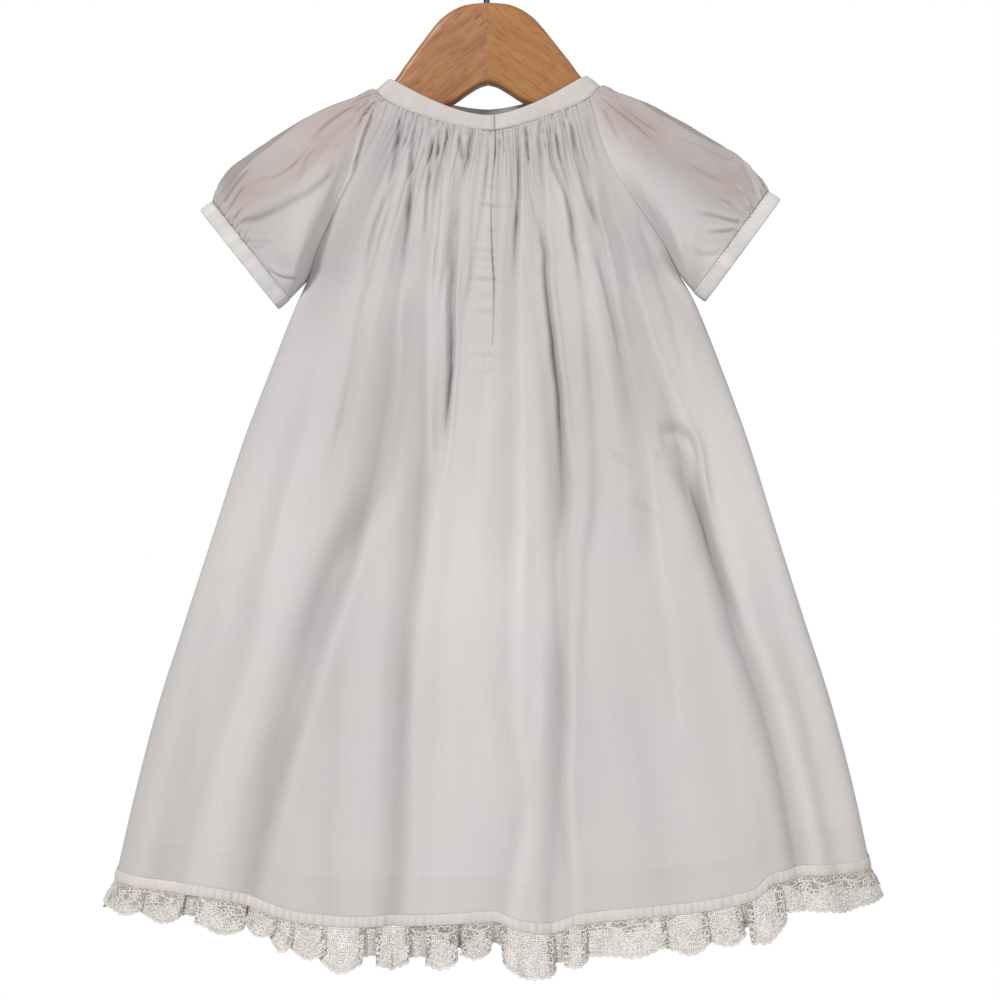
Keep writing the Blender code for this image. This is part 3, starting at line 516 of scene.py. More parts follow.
def plain_tint(points, colour=(1, 1, 1)):
    """The same tint at every point."""
    return np.broadcast_to(np.array(colour), points.shape).copy()


# ------------------------------------------------------------ materials


class Finish:
    """A material in the making: nodes are added from the pattern to the surface."""

    def __init__(self, name):
        self.material = bpy.data.materials.new(name)
        self.material.use_nodes = True
        self.tree = self.material.node_tree
        self.tree.nodes.clear()

    def put(self, socket, value):
        """Gives a socket a number or a colour, or joins it to another socket."""
        if isinstance(value, bpy.types.NodeSocket):
            self.tree.links.new(value, socket)
        elif socket.type == "RGBA":
            socket.default_value = (*value, 1)
        else:
            socket.default_value = value

    def node(self, kind, *values, settings=None, **sockets):
        """Adds a node. Values go to its first sockets, and keywords to sockets by name."""
        node = self.tree.nodes.new("ShaderNode" + kind)
        for key, value in (settings or {}).items():
            setattr(node, key, value)
        for socket, value in zip(node.inputs, values):
            self.put(socket, value)
        for name, value in sockets.items():
            self.put(node.inputs[name.replace("_", " ")], value)
        return node

    def calc(self, operation, first, second):
        return self.node("Math", first, second, settings={"operation": operation}).outputs[0]

    def span(self, value, *ends):
        """Eases a value from one span of numbers to another: low, high, to low, to high."""
        return self.node("MapRange", value, *ends, settings={"interpolation_type": "SMOOTHSTEP"}).outputs[0]

    def dye(self, share, first, second, mode="MIX"):
        """Mixes two colours."""
        node = self.node("Mix", share, settings={"data_type": "RGBA", "blend_type": mode})
        self.put(node.inputs[6], first)
        self.put(node.inputs[7], second)
        return node.outputs[2]

    def where(self):
        return self.node("TexCoord").outputs["Object"]

    def mapped(self, at, **change):
        return self.node("Mapping", Vector=at, **change).outputs[0]

    def noise(self, at, scale, detail, roughness=0.5):
        made = self.node("TexNoise", Vector=at, Scale=scale, Detail=detail, Roughness=roughness)
        return made.outputs["Fac"]

    def bump(self, strength, distance, height):
        return self.node("Bump", Strength=strength, Distance=distance, Height=height).outputs[0]

    def blend(self, share, first, second):
        """Mixes two surfaces."""
        return self.node("MixShader", share, first.outputs[0], second.outputs[0])

    def done(self, surface):
        self.node("OutputMaterial", surface.outputs[0])
        return self.material


def batiste(name, colour, through=0.20, clear=0.04, slub=1, blotch=1, thread_mm=0.45, gathered=0):
    """Fine cotton plain weave: threads, slubs both ways and soft uneven whiteness."""
    made = Finish(name)
    uv = made.node("UVMap", settings={"uv_map": "cloth"}).outputs[0]
    place_on = made.where()
    wave_scale = 2 * math.pi / (20 * thread_mm * MM)
    warp, weft = [made.node("TexWave", settings={"bands_direction": way}, Vector=uv, Scale=wave_scale,
                            Distortion=0.6, Detail=1).outputs["Fac"] for way in "XY"]
    warp_slub = made.noise(made.mapped(uv, Scale=(1500, 30, 1)), 1, 3)
    weft_slub = made.noise(made.mapped(uv, Scale=(34, 1300, 1)), 1, 3)
    threads = made.calc("ADD", warp_slub, made.calc("ADD", made.calc("MULTIPLY", weft_slub, 0.6), 0.2))

    def duller(*shares):
        return tuple(c * (1 - share * blotch) for c, share in zip(colour, shares))

    warm = tuple(c * share for c, share in zip(colour, (1.012, 1, 0.985)))
    patches = made.span(made.noise(place_on, 13, 3, 0.45), 0.35, 0.65, 0, 1)
    ground = made.dye(patches, warm, duller(0.022, 0.014, 0.004))
    lilac = made.span(made.noise(place_on, 7, 2), 0.5, 0.75, 0, 0.7)
    ground = made.dye(lilac, ground, duller(0.01, 0.03, 0.018))
    streak = made.span(threads, 0.72, 1.3, 1 - 0.045 * slub, 1 + 0.012 * slub)
    relief = made.calc("ADD", made.calc("MULTIPLY", made.calc("MAXIMUM", warp, weft), 0.25),
                       made.calc("MULTIPLY", threads, 0.9 * slub))
    # Fine gather lines near the top of the skirt: pressed in by bump, and darkened in the colour as painted
    # shade in their valleys.
    if gathered:
        pleats = made.noise(made.mapped(uv, Scale=(360, 13, 1)), 1, 1.5)
        down = made.node("SeparateXYZ", uv).outputs["Y"]
        lines = made.calc("MULTIPLY", made.span(pleats, 0.36, 0.46, 1, 0),
                          made.span(down, 0.002, 0.050, 1, 0))
        streak = made.calc("MULTIPLY", streak,
                           made.calc("SUBTRACT", 1, made.calc("MULTIPLY", lines, 0.34 * gathered)))
        relief = made.calc("SUBTRACT", relief, made.calc("MULTIPLY", lines, 2.5 * gathered))
    shade = made.node("CombineColor", streak, streak, streak).outputs[0]
    ground = made.dye(1, ground, shade, "MULTIPLY")
    # Multiplied by the vertex colour tint, which carries painted shade and painted light as well as the
    # pieces' own tints.
    tint = made.node("Attribute", settings={"attribute_name": "tint"}).outputs["Color"]
    ground = made.dye(1, ground, tint, "MULTIPLY")
    bump = made.bump(0.35, 0.00022, relief)
    face = made.node("BsdfPrincipled", Base_Color=ground, Roughness=0.82, Normal=bump,
                     Specular_IOR_Level=0.22, Sheen_Weight=0.25, Sheen_Roughness=0.5)
    glow = made.node("BsdfTranslucent", Color=ground, Normal=bump)
    return made.done(made.blend(clear, made.blend(through, face, glow), made.node("BsdfTransparent")))


def thread(name, colour, through=0.15):
    """Spun cotton: a fine twist across the yarn and slightly uneven whiteness."""
    made = Finish(name)
    place_on = made.where()
    twist = made.node("TexWave", Vector=made.mapped(place_on, Rotation=(0.4, 0.3, 0.8)), Scale=420,
                      Distortion=2, Detail=2).outputs["Fac"]
    patches = made.span(made.noise(place_on, 90, 4), 0.3, 0.7, 0, 1)
    ground = made.dye(patches, colour, tuple(c * 0.86 for c in colour))
    face = made.node("BsdfPrincipled", Base_Color=ground, Roughness=0.75, Specular_IOR_Level=0.25,
                     Sheen_Weight=0.2, Normal=made.bump(0.3, 0.0001, twist))
    return made.done(made.blend(through, face, made.node("BsdfTranslucent", Color=ground)))


ARM_SLOPE = 38


def varnished_wood(name, light, dark, pore, side):
    """Beech with long grain down the arm, short pores and a satin varnish."""
    made = Finish(name)
    along_arm = made.mapped(made.where(), Rotation=(0, side * math.radians(-ARM_SLOPE), 0))
    bend = made.node("TexNoise", Vector=along_arm, Scale=16, Detail=2).outputs["Color"]
    wavy = made.node("VectorMath", made.mapped(along_arm, Scale=(10, 60, 95)), bend,
                     settings={"operation": "ADD"}).outputs[0]
    grain = made.noise(wavy, 2.2, 5, 0.6)
    pores = made.noise(made.mapped(along_arm, Scale=(120, 900, 1500)), 1, 2)
    tone = made.dye(made.span(grain, 0.32, 0.68, 0, 1), light, dark)
    tone = made.dye(made.span(pores, 0.54, 0.70, 0, 0.8), tone, pore)
    rough = made.span(grain, 0.3, 0.7, 0.34, 0.46)
    return made.done(made.node("BsdfPrincipled", Base_Color=tone, Roughness=rough, Coat_Weight=0.05,
                               Coat_Roughness=0.4, Normal=made.bump(0.25, 0.0002, pores)))


def oxidised_wire(name):
    made = Finish(name)
    spots = made.noise(made.where(), 260, 4)
    tone = made.dye(made.span(spots, 0.35, 0.65, 0, 1), (0.045, 0.055, 0.075), (0.10, 0.11, 0.13))
    rough = made.span(spots, 0.3, 0.7, 0.28, 0.5)
    return made.done(made.node("BsdfPrincipled", Base_Color=tone, Roughness=rough, Metallic=0.9,
                               Normal=made.bump(0.2, 0.0001, spots)))


skirt_cloth = batiste("skirt_batiste", (0.855, 0.835, 0.83), blotch=0.8, slub=0.75, thread_mm=0.36,
                      gathered=1)
sleeve_cloth = batiste("sleeve_batiste", (0.84, 0.815, 0.81), through=0.22, blotch=0.7, thread_mm=0.36)
band_cloth = batiste("folded_batiste", (0.82, 0.80, 0.79), through=0.10, clear=0, blotch=0.6)
net_thread = thread("net_thread", (0.61, 0.555, 0.49), through=0.25)
motif_thread = thread("motif_thread", (0.88, 0.84, 0.795), through=0.10)
sewing_thread = thread("sewing_thread", (0.86, 0.85, 0.84))
pink_beech = varnished_wood("pink_beech", (0.45, 0.208, 0.087), (0.30, 0.120, 0.048),
                            (0.19, 0.07, 0.03), -1)
gold_beech = varnished_wood("gold_beech", (0.44, 0.205, 0.07), (0.35, 0.148, 0.045),
                            (0.20, 0.08, 0.025), 1)
hook_wire = oxidised_wire("oxidised_wire")

# ------------------------------------------------------------ form of the panels


def band_low_drop(panel, x):
    wide, tight = panel["neck_curve"]
    reach = np.minimum(np.abs(x) / BAND_LOW_HALF_WIDTH, 1)
    return panel["neck_low_drop"] - wide * reach**1.45 - tight * reach**12


def band_top_drop(panel, x):
    height = panel["neck_top_drop"] - BAND_CREST_TOP_DROP
    return panel["neck_top_drop"] - height * (np.abs(x) / BAND_TOP_HALF_WIDTH) ** 1.6


def panel_length(panel):
    return CENTRE_HEM_DROP - panel["neck_low_drop"]


def side_drop_at(panel, fall):
    return mix(SIDE_EDGE[0][0], SIDE_HEM_DROP, fall / panel_length(panel))


def across_spread(s):
    """Columns stand closer together towards the side seams."""
    return 0.72 * s + 0.28 * np.sin(s * np.pi / 2)


def panel_base(panel, s, fall):
    """Smooth form of a panel without folds: s runs from -1 to 1 across it."""
    v = fall / panel_length(panel)
    side_drop = side_drop_at(panel, fall)
    centre_drop = mix(panel["neck_low_drop"], CENTRE_HEM_DROP, v)
    across = across_spread(s)
    drop = mix(side_drop, centre_drop, 1 - np.abs(across) ** mix(1.45, 2.2, v))
    drop = drop + curve(HEM_SAG, 1, across * -panel["facing"]) * rise(v, 0.5, 0.5)
    closing = rise(side_drop, 88, 44)
    section = np.maximum(1 - np.abs(across) ** 2.6, 0) ** (1 / mix(1, 2.3, closing))
    depth = mix(curve(SIDE_EDGE, 2, side_drop), curve(panel["fullness"], 1, fall), section)
    neck = fade(fall, 0, NECK_BLEND)
    at_band = RAGLAN_TOP_HALF_WIDTH * across
    reach = np.abs(at_band) / BAND_LOW_HALF_WIDTH
    band_depth = BAND_LOW_DEPTH * (1 - reach**BAND_SQUARENESS) ** (1 / BAND_SQUARENESS)
    top_drop = mix(SIDE_EDGE[0][0], panel["neck_low_drop"], 1 - np.abs(across) ** 1.45)
    depth = mix(depth, band_depth, neck)
    drop = drop + neck * (band_low_drop(panel, at_band) - top_drop)
    x = curve(SIDE_EDGE, 1, side_drop) * across + curve(SWAY, 1, side_drop) * (1 - neck)
    return place(x, panel["facing"] * depth, drop)


def edge_fade(s):
    """Folds flatten out before the side seams, so that front and back meet."""
    return 1 - np.abs(s) ** 10


def ridges(phase, top, deep, power):
    """Round ridges with narrow valleys, one to each whole number, and the ridge's number."""
    ridge = np.floor(phase)
    return top - deep * np.abs(2 * (phase - ridge) - 1) ** power, ridge


def gathers(panel, s, fall):
    """Fine gathers under the neckband: uneven ridges with narrow valleys, ruched at the seam."""
    seed = panel["seed"]
    count = (s + 1) / 2 * GATHERS_A_PANEL
    wobble = 0.20 * wander(seed + 14, fall / 4 + 7 * np.floor(count)) * fade(fall, 0, 30)
    phase = count + 0.65 * wander(seed, (s + 1) * 9) + wobble
    shape, ridge = ridges(phase, 0.35, 1.2, 3.6)
    strength = 0.3 + 1.3 * uneven(seed + 1, ridge) ** 1.3
    length = 12 + 60 * uneven(seed + 2, ridge) ** 1.8
    at_seam = mix(0.75, 1, ease(fall / 6))
    fine = 1.15 * strength * shape * at_seam * fade(fall, 5, length)
    second = phase * 2 + 0.37 + 0.25 * wander(seed + 9, fall / 5)
    shape, ridge = ridges(second, 0.3, 1, 2.5)
    length = 9 + 16 * uneven(seed + 16, ridge)
    fine = fine + 0.75 * shape * at_seam * fade(fall, 2, length) * uneven(seed + 4, ridge)
    cells = 0.6 * drift(seed + 15, phase * 1.6, fall / 2.2) * fade(fall, 0, 13) * ease(fall / 1.5)
    shape, pair = ridges(count / 2.2 + 0.7 * wander(seed + 8, (s + 1) * 7), 0.3, 1, 3.6)
    strength = 0.2 + 1.1 * uneven(seed + 5, pair) ** 1.2
    length = 40 + 150 * uneven(seed + 6, pair)
    long_folds = 1.45 * strength * shape * ease(fall / 18) * fade(fall, 20, length)
    return (fine + cells + long_folds) * (1 - 0.85 * rise(np.abs(s), 0.84, 0.08))


def crease_relief(creases, x, drop):
    """Relief of the main creases, how far they pull the cloth sideways, and their shadow."""
    relief, pull, shadow = np.zeros((3, *x.shape))
    for _, deep_top, deep_low, wide_top, wide_low, lean, course in creases:
        first, last = course[0][0], course[-1][0]
        share = np.clip((drop - first) / (last - first), 0, 1)
        middle = curve(course, 1, drop) + 0.9 * wander(first + 3, drop / 31)
        height = (drop - 34) / 430
        depth = 1.2 * mix(deep_top, deep_low, ease(height * 1.6))
        depth = depth * (1 - 0.35 * rise(drop, 200, 190))
        width = mix(wide_top, wide_low, np.clip(height * 1.1, 0, 1)) * 0.68
        start = rise(drop, first - 4, 22 if first < 100 else 80)
        end = 1 if last > 430 else fade(drop, last - 55, 60)
        pinch = 1 + 0.35 * wander(first + last, drop / 46 + share)
        aside = (x - middle) / (width * (1 + 0.2 * wander(last, drop / 60)))
        steep = np.where(aside > 0, *((1.7, 0.75) if lean > 0.7 else (0.75, 1.5)))
        away = np.abs(aside * steep)
        valley = np.exp(-0.5 * away**1.5)
        shoulder = bell(away - 2.4, 1.3)
        strength = depth * start * end * pinch
        relief -= strength * (valley - 0.2 * shoulder)
        pull += 0.6 * lean * start * end * np.exp(-(aside + 0.3) ** 2)
        shadow += 0.026 * strength * np.exp(-(away * 1.25) ** 1.5)
    return relief, pull, np.clip(shadow, 0, 0.16)


def valley_relief(valleys, x, drop):
    """Relief and shade of the sharper and of the broad valleys."""
    relief, shade = np.zeros((2, *x.shape))
    for depth, width, dark, course in valleys:
        first, last = course[0][0], course[-1][0]
        middle = curve(course, 1, drop) + 0.35 * wander(first + last, drop / 9)
        end = 1 if last > 460 else ease((last - drop) / (0.4 * (last - first)))
        ends = ease((drop - first) / (0.2 * (last - first))) * end
        away = np.abs((x - middle) / width)
        relief -= depth * ends * (np.exp(-away**1.6) - 0.3 * np.exp(-(away - 2.2) ** 2))
        shade += dark * ends * np.exp(-(away * 1.1) ** 1.6)
    return relief, shade


def soft_hang(panel, s, x, drop, fall):
    """Broad shallow waves of the hanging cloth between the creases, and small dents."""
    seed = panel["seed"]
    grown = rise(drop, 90, 160)
    waves = 1.3 * wander(seed + 21, s * 7 + 0.4 * wander(seed, drop / 130))
    waves = waves + 0.6 * wander(seed + 22, s * 15 + 0.5 * wander(seed + 1, drop / 90))
    dents = 0.55 * drift(seed + 31, x / 26, drop / 70) + 0.22 * drift(seed + 33, x / 11, drop / 24)
    dents = dents + 0.10 * drift(seed + 35, x / 5.5, drop / 9)
    return waves * grown + dents * rise(fall, 18, 40)


def hem_step(panel, fall):
    """The hem is turned up and stitched: a slight step with a pinched line above it."""
    above = panel_length(panel) - HEM_TURN_UP - fall
    return 0.18 * fade(above, -0.5, 1.4) - 0.16 * bell(above - 0.2, 0.9)


SLIT_END = 148
SLIT_PULL = 16
SLIT_COURSE = ((20, 2.8), (35, 2.9), (60, 3.7), (100, 1.2), (148, -1.2), (200, -2.4),
               (300, -1.5), (480, 0))


def slit_lap(x_off, drop, side):
    """Rise and slide of a lap along the slit, where the left one lies over the right one."""
    open_share = fade(drop, SLIT_END - 26, 28)
    gape = (0.7 + 0.5 * wander(77, drop / 13)) * mix(1, 0.45, rise(drop, 38, 25))
    gape = gape + 0.8 * bell(drop - 108, 14)
    high, reach, power, slide, pulled = (0.5, 6, 1.6, 0.7, 2) if side < 0 else (-0.35, 3.4, 1.5, -1.3, 1.6)
    return high * bell(x_off, reach, power) * open_share * gape, slide * bell(x_off, pulled, 1) * open_share


PUCKERS = (
    # drop, height, reach to the left of the slit
    (60, 0.5, 6),
    (70.5, 0.9, 8),
    (84, 0.4, 6),
    (96, 0.9, 10),
    (100.5, 0.8, 8),
    (105.5, 0.5, 7),
    (111.5, 1, 12),
    (120, 0.5, 6),
    (129, 0.5, 9),
    (153.5, 0.8, 8),
    (163, 0.5, 7),
)


def puckers(x_off, drop):
    """Small cross puckers that the placket's stitching pulls into the left lap."""
    total = np.zeros_like(x_off)
    for at, high, reach in PUCKERS:
        away = drop - at - 0.16 * x_off
        ridge = bell(away, 1.5) - 0.7 * bell(away - 2.4, 1.3)
        total += 1.3 * high * ridge * bell(x_off, reach) * np.where(x_off > 0, 0.3, 1)
    return total


def panel_points(panel, creases, s, fall):
    """Points of a panel's face on the grid of s and fall."""
    base = panel_base(panel, s, fall)
    normals = turned(grid_normals(base), (0, panel["facing"], 0))
    x, drop = base[..., 0], drop_of(base)
    creases, valleys, wrinkles = creases
    relief, pull, _ = crease_relief(creases, x, drop)
    relief = relief * ease(fall / 26) + valley_relief(valleys, x, drop)[0] * ease(fall / 3)
    for deep, high, reach, course in wrinkles:
        relief = relief + fold_profile(*beside(base, course), deep, high, reach)
    relief = relief + gathers(panel, s, fall) + soft_hang(panel, s, x, drop, fall)
    relief = relief + hem_step(panel, fall) - 0.2 * fade(fall, 0, 2.5)
    moved = base + normals * (relief * edge_fade(s))[..., None]
    moved[..., 0] += pull * edge_fade(s)
    if panel["facing"] < 0:
        moved[..., 0] += curve(SLIT_COURSE, 1, drop) * bell(x, SLIT_PULL)
    return moved


def slit_sides(points):
    """The two halves of the back, with the left lap laid over the right one."""
    middle = points.shape[1] // 2
    halves = []
    for side, half in ((-1, points[:, :middle + 1].copy()), (1, points[:, middle:].copy())):
        drop = drop_of(half)
        off = half[..., 0] - curve(SLIT_COURSE, 1, drop)
        lift, slide = slit_lap(off, drop, side)
        half[..., 1] -= lift + puckers(off, drop)
        half[..., 0] += slide
        halves.append(half)
    return halves


def panel_painted_shade(panel, creases, s, fall):
    """Painted shade of a panel: folds, gathers and the slit are darker, the doubled hem and the seams
    greyer, with painted shade under the neckband, down the sides and beside the sleeves, and painted light
    near the underarms and towards the +x edge.
    """
    base = panel_base(panel, s, fall)
    x, drop = base[..., 0], drop_of(base)
    shadow = crease_relief(creases[0], x, drop)[2] * ease(fall / 20)
    shadow = shadow + valley_relief(creases[1], x, drop)[1]
    for deep, _, reach, course in creases[2]:
        signed, along = beside(base, course)
        shadow = shadow + 0.07 * deep * fold_ends(along) * bell(signed - 0.3 * reach, 0.8 * reach)
    if panel["facing"] < 0:
        off = x + curve(SLIT_COURSE, 1, drop) * (bell(x, SLIT_PULL) - 1)
        at_slit = bell(off - 1.5, 2) * fade(drop, 118, 30)
        shadow = shadow + (0.08 + 0.05 * wander(67, drop / 14)) * at_slit
    shadow = np.clip(shadow, 0, 0.36) * edge_fade(s)
    above = panel_length(panel) - HEM_TURN_UP - fall
    hem = fade(above, -0.8, 1.6) * (0.75 + 0.35 * wander(panel["seed"] + 43, s * 6))
    seam = bell(np.abs(s) - 1, 0.012)
    # Painted shade just under the neckband, over the gathered upper part and down the sides, with painted
    # light near the underarms, and soft random lighter and darker bands.
    neck = fade(fall, 0, 5)
    painted_gather_shade = 0.155 * fade(fall, 60, 200) + 0.05 * fade(fall, 0, 48)
    away = np.abs(s + 0.02)
    sides = 0.12 * rise(away, 0.1, 0.16) * fade(away, 0.5, 0.3) * rise(fall, 80, 90)
    sides = sides * (1 - 0.35 * rise(fall, 230, 120)) + 0.06 * rise(fall, 230, 110)
    under_arm = rise(fall, 66, 12) * fade(fall, 96, 40)
    sides = sides - 0.12 * rise(away, 0.9, 0.06) * under_arm
    bands = 0.03 * wander(panel["seed"] + 41, s * 8 + 0.3 * wander(5, fall / 120)) * ease(fall / 60)
    shade = (1 - 0.035 * hem - 0.03 * seam - 0.04 * neck) * (1 - shadow) * (1 - painted_gather_shade - sides - bands)
    # Painted shade in the valleys of the gathers.
    valley = np.clip(-gathers(panel, s, fall) - 0.12, 0, 0.7) * fade(fall, 60, 90)
    shade = shade * (1 - 0.13 * valley)
    # Painted light towards the +x edge and painted shade towards the -x edge lower down, then painted shade
    # beside the sleeves.
    tilt = 0.11 * rise(s, 0.74, 0.24) - 0.07 * rise(-s, 0.62, 0.26)
    shade = shade * (1 + rise(fall, 110, 80) * tilt)
    at_sleeve = bell(np.abs(s) - 0.84, 0.13) * ease(fall / 16) * fade(fall, 90, 60)
    shade = shade * (1 - (0.11 - 0.04 * s) * at_sleeve)
    return np.stack((shade, shade * (0.990 - 0.005 * hem), shade * (0.984 - 0.012 * hem)), axis=-1)


def panel_rows(panel, near):
    """Rows stand closer together at the gathers, along the slit and at the turned-up hem."""
    length = panel_length(panel)
    rows, start = [np.zeros(1)], 0
    for end, fine, coarse in ((56, 50, 34), (150, 58, 36), (length - 27, 56, 42), (length, 22, 16)):
        rows.append(np.linspace(start, end, (fine if near else coarse) + 1)[1:])
        start = end
    return np.concatenate(rows)


def mirrored(creases, seed):
    """The same kinds of creases for the other side, with their courses changed a little."""
    changed = []
    for k, (name, top, low, wide_top, wide_low, lean, course) in enumerate(creases):
        if name.startswith("placket"):
            continue
        scale = 0.75 + 0.5 * chance(seed, k)
        shift = 9 * (chance(seed + 1, k) - 0.5)
        course = tuple((drop, -x * 0.98 + shift * min(drop / 200, 1)) for drop, x in course)
        changed.append((name, top * scale, low * scale, wide_top, wide_low, lean, course))
    return tuple(changed)


def mirrored_valleys(valleys, seed):
    return tuple((depth * (0.8 + 0.4 * chance(seed, k)), width, dark * 0.8,
                  tuple((drop + 1, -x * 0.97 + 2 * chance(seed + 1, k)) for drop, x in course))
                 for k, (depth, width, dark, course) in enumerate(valleys))


PANEL_CUT_WIDTH = 470
CLOTH_WALL = 0.30
UNDERLAP_WALL = 0.5
COURSES = {
    "back": (CREASES, VALLEYS, WRINKLES),
    "front": (mirrored(CREASES, 5), mirrored_valleys(VALLEYS, 8), ()),
}


def make_panel(kind):
    panel = PANELS[kind]
    near = kind == "back"
    s, fall = np.meshgrid(np.linspace(-1, 1, 241 if near else 193), panel_rows(panel, near))
    points = panel_points(panel, COURSES[kind], s, fall)
    uv = np.stack(((s + 1) * PANEL_CUT_WIDTH / 2, fall), axis=-1)
    tint = panel_painted_shade(panel, COURSES[kind], s, fall)
    patches = [(points, uv, tint)]
    if near:
        middle = s.shape[1] // 2
        left, right = slit_sides(points)
        patches = [(left, uv[:, :middle + 1], tint[:, :middle + 1]),
                   (right, uv[:, middle:], tint[:, middle:])]
    obj = sew(kind + "_skirt", patches, skirt_cloth, (kind + "_panel",),
              facing=(0, panel["facing"], 0), wall=CLOTH_WALL, weld=near)


# ------------------------------------------------------------ neckband


def ring_point(angle, half_width, depth):
    power = 2 / BAND_SQUARENESS
    x = half_width * np.sign(np.sin(angle)) * np.abs(np.sin(angle)) ** power
    y = -depth * np.sign(np.cos(angle)) * np.abs(np.cos(angle)) ** power
    return x, y


def band_ring(angle):
    """Top and bottom edges of the band at angles round the neck, 0 at the slit."""
    x, y = ring_point(angle, BAND_TOP_HALF_WIDTH, BAND_TOP_DEPTH)
    back = np.cos(angle) >= 0
    drop = np.where(back, band_top_drop(PANELS["back"], x), band_top_drop(PANELS["front"], x))
    top = place(x, y, drop)
    x, y = ring_point(angle, BAND_LOW_HALF_WIDTH, BAND_LOW_DEPTH)
    drop = np.where(back, band_low_drop(PANELS["back"], x), band_low_drop(PANELS["front"], x))
    return top, place(x, y, drop)


def even_angles(count):
    """Angles round the neckband at even distances, from one slit edge to the other."""
    u = np.linspace(0, 1, 500)
    quarter = np.unique(np.concatenate((np.arcsin(u**2), np.arccos(u**2))))
    angles = np.concatenate((quarter, np.pi - quarter[::-1], np.pi + quarter, 2 * np.pi - quarter[::-1]))
    angles = np.unique(np.clip(angles, 1e-5, 2 * np.pi - 1e-5))
    top, low = band_ring(angles)
    at = path_length((top + low) / 2)
    return np.interp(np.linspace(0, at[-1], count), at, angles)


BAND_SECTION = (
    # share of the width from the top edge, how far out
    (0, -0.55),
    (-0.02, -0.10),
    (0.02, 0.32),
    (0.10, 0.52),
    (0.30, 0.58),
    (0.55, 0.55),
    (0.80, 0.52),
    (0.92, 0.44),
    (1, 0.22),
    (1.03, -0.30),
    (0.94, -0.90),
    (0.70, -1.05),
    (0.40, -1.05),
    (0.12, -1),
)


def fold_strip(section, edge, across, normal, raised):
    """Lines of a folded strip, from a section of (share of the width, how far out)."""
    return np.stack([edge + across * share + normal * raised(share, out)[:, None]
                     for share, out in section + section[:1]])


def make_neckband():
    top, low = band_ring(even_angles(300))
    width, middle = low - top, (top + low) / 2
    normal = turned(unit(np.cross(width, np.gradient(middle, axis=0))), middle * (1, 1, 0))
    at = path_length(middle)

    def raised(share, out):
        ripple = 0.32 * wander(3 + share * 2, at / 3.1) * rise(share, -0.05, 0.6)
        return out + (ripple + 0.15 * wander(9, at / 11))

    points = fold_strip(BAND_SECTION, top, width, normal, raised)
    ends = np.exp(-np.minimum(at, at[-1] - at) / 3)
    left_lap = at > at[-1] / 2
    points[..., 0] += ends * np.where(left_lap, 3.2, 0.6)
    points[..., 1] -= ends * np.where(left_lap, 0.9, -0.7)
    tint = plain_tint(points, (0.82, 0.79, 0.765)) * (1 - 0.05 * ease(np.abs(wander(33, at / 8))))[:, None]
    # Painted shade on the band's inner face in its far half, which shows through the neck opening.
    inside = np.array([out < 0 for _, out in BAND_SECTION + BAND_SECTION[:1]])[:, None]
    tint = tint * (1 - 0.13 * inside * ease(points[..., 1] / 6))[..., None]
    obj = sew_band("neckband_folded", "neckband", points, at, 22, tint)
    close_ends(obj)


def close_ends(obj):
    """Closes the open ends of a folded strip."""
    bm = bmesh.new()
    bm.from_mesh(obj.data)
    edges = [edge for edge in bm.edges if edge.is_boundary]
    bmesh.ops.holes_fill(bm, edges=edges, sides=0)
    bmesh.ops.recalc_face_normals(bm, faces=bm.faces[:])
    bm.to_mesh(obj.data)
    bm.free()


# ------------------------------------------------------------ sleeves


def raglan_point(panel, side, drop):
    fall = (drop - SIDE_EDGE[0][0]) / (SIDE_HEM_DROP - SIDE_EDGE[0][0]) * panel_length(panel)
    return panel_base(panel, np.full_like(fall, side), fall)


def sleeve_start(panel, side, column):
    """Upper edge of the sleeve: up the raglan seam, then along the neckband to its crest."""
    drop = np.interp(column, np.arange(len(RAGLAN_DROPS)), RAGLAN_DROPS[::-1])
    on_seam = raglan_point(panel, side, drop)
    seam_angle = np.arcsin((RAGLAN_TOP_HALF_WIDTH / BAND_LOW_HALF_WIDTH) ** (BAND_SQUARENESS / 2))
    angle = mix(seam_angle, np.pi / 2, np.clip((column - SEAM_COLUMNS) / NECK_COLUMNS, 0, 1))
    x, y = ring_point(angle, BAND_LOW_HALF_WIDTH, BAND_LOW_DEPTH)
    on_band = place(side * x, -panel["facing"] * y, band_low_drop(panel, x))
    return np.where((column <= SEAM_COLUMNS)[..., None], on_seam, on_band)


def oval(a):
    """How far the section of a flattened tube stands out, for a from 0 to 1 across it."""
    return np.maximum(1 - np.abs(2 * a - 1) ** 2.4, 0) ** (1 / 2.4)


def cuff_section(panel, side, a):
    """Half of the flattened ring where the sleeve meets the cuff."""
    along = mix(a, (1 - np.cos(np.pi * a)) / 2, 0.6)
    x = mix(CUFF_BOTTOM[0], CUFF_TOP[0], along)
    drop = mix(CUFF_BOTTOM[1], CUFF_TOP[1], along)
    return place(side * x, panel["facing"] * CUFF_DEPTH * oval(along), drop)


def cuff_share(column):
    low = RAGLAN_SHARE * (np.clip(column, 0, SEAM_COLUMNS) / SEAM_COLUMNS) ** 0.8
    high = mix(RAGLAN_SHARE, 1, (column - SEAM_COLUMNS) / NECK_COLUMNS)
    return np.where(column <= SEAM_COLUMNS, low, high)


SLEEVE_STEPS = 100
SLEEVE_HALF_GIRTH = 130
SLEEVE_LENGTH = 105
# Extra rise of the puffed crown of each sleeve, from the neck to the cuff.
CROWN_PUFF = {
    #        b, rise
    "left": ((0, 0), (0.12, -1.2), (0.3, 0.6), (0.5, 2.6), (0.65, 4.6), (0.75, 6.4), (0.85, 7.6),
             (0.92, 6.4), (0.97, 3.2), (1, 0)),
    "right": ((0, 0), (0.12, -2.2), (0.3, -1.2), (0.5, 0.8), (0.65, 2.2), (0.77, 3.9), (0.87, 4.3),
              (0.94, 3.3), (0.98, 1.4), (1, 0)),
}


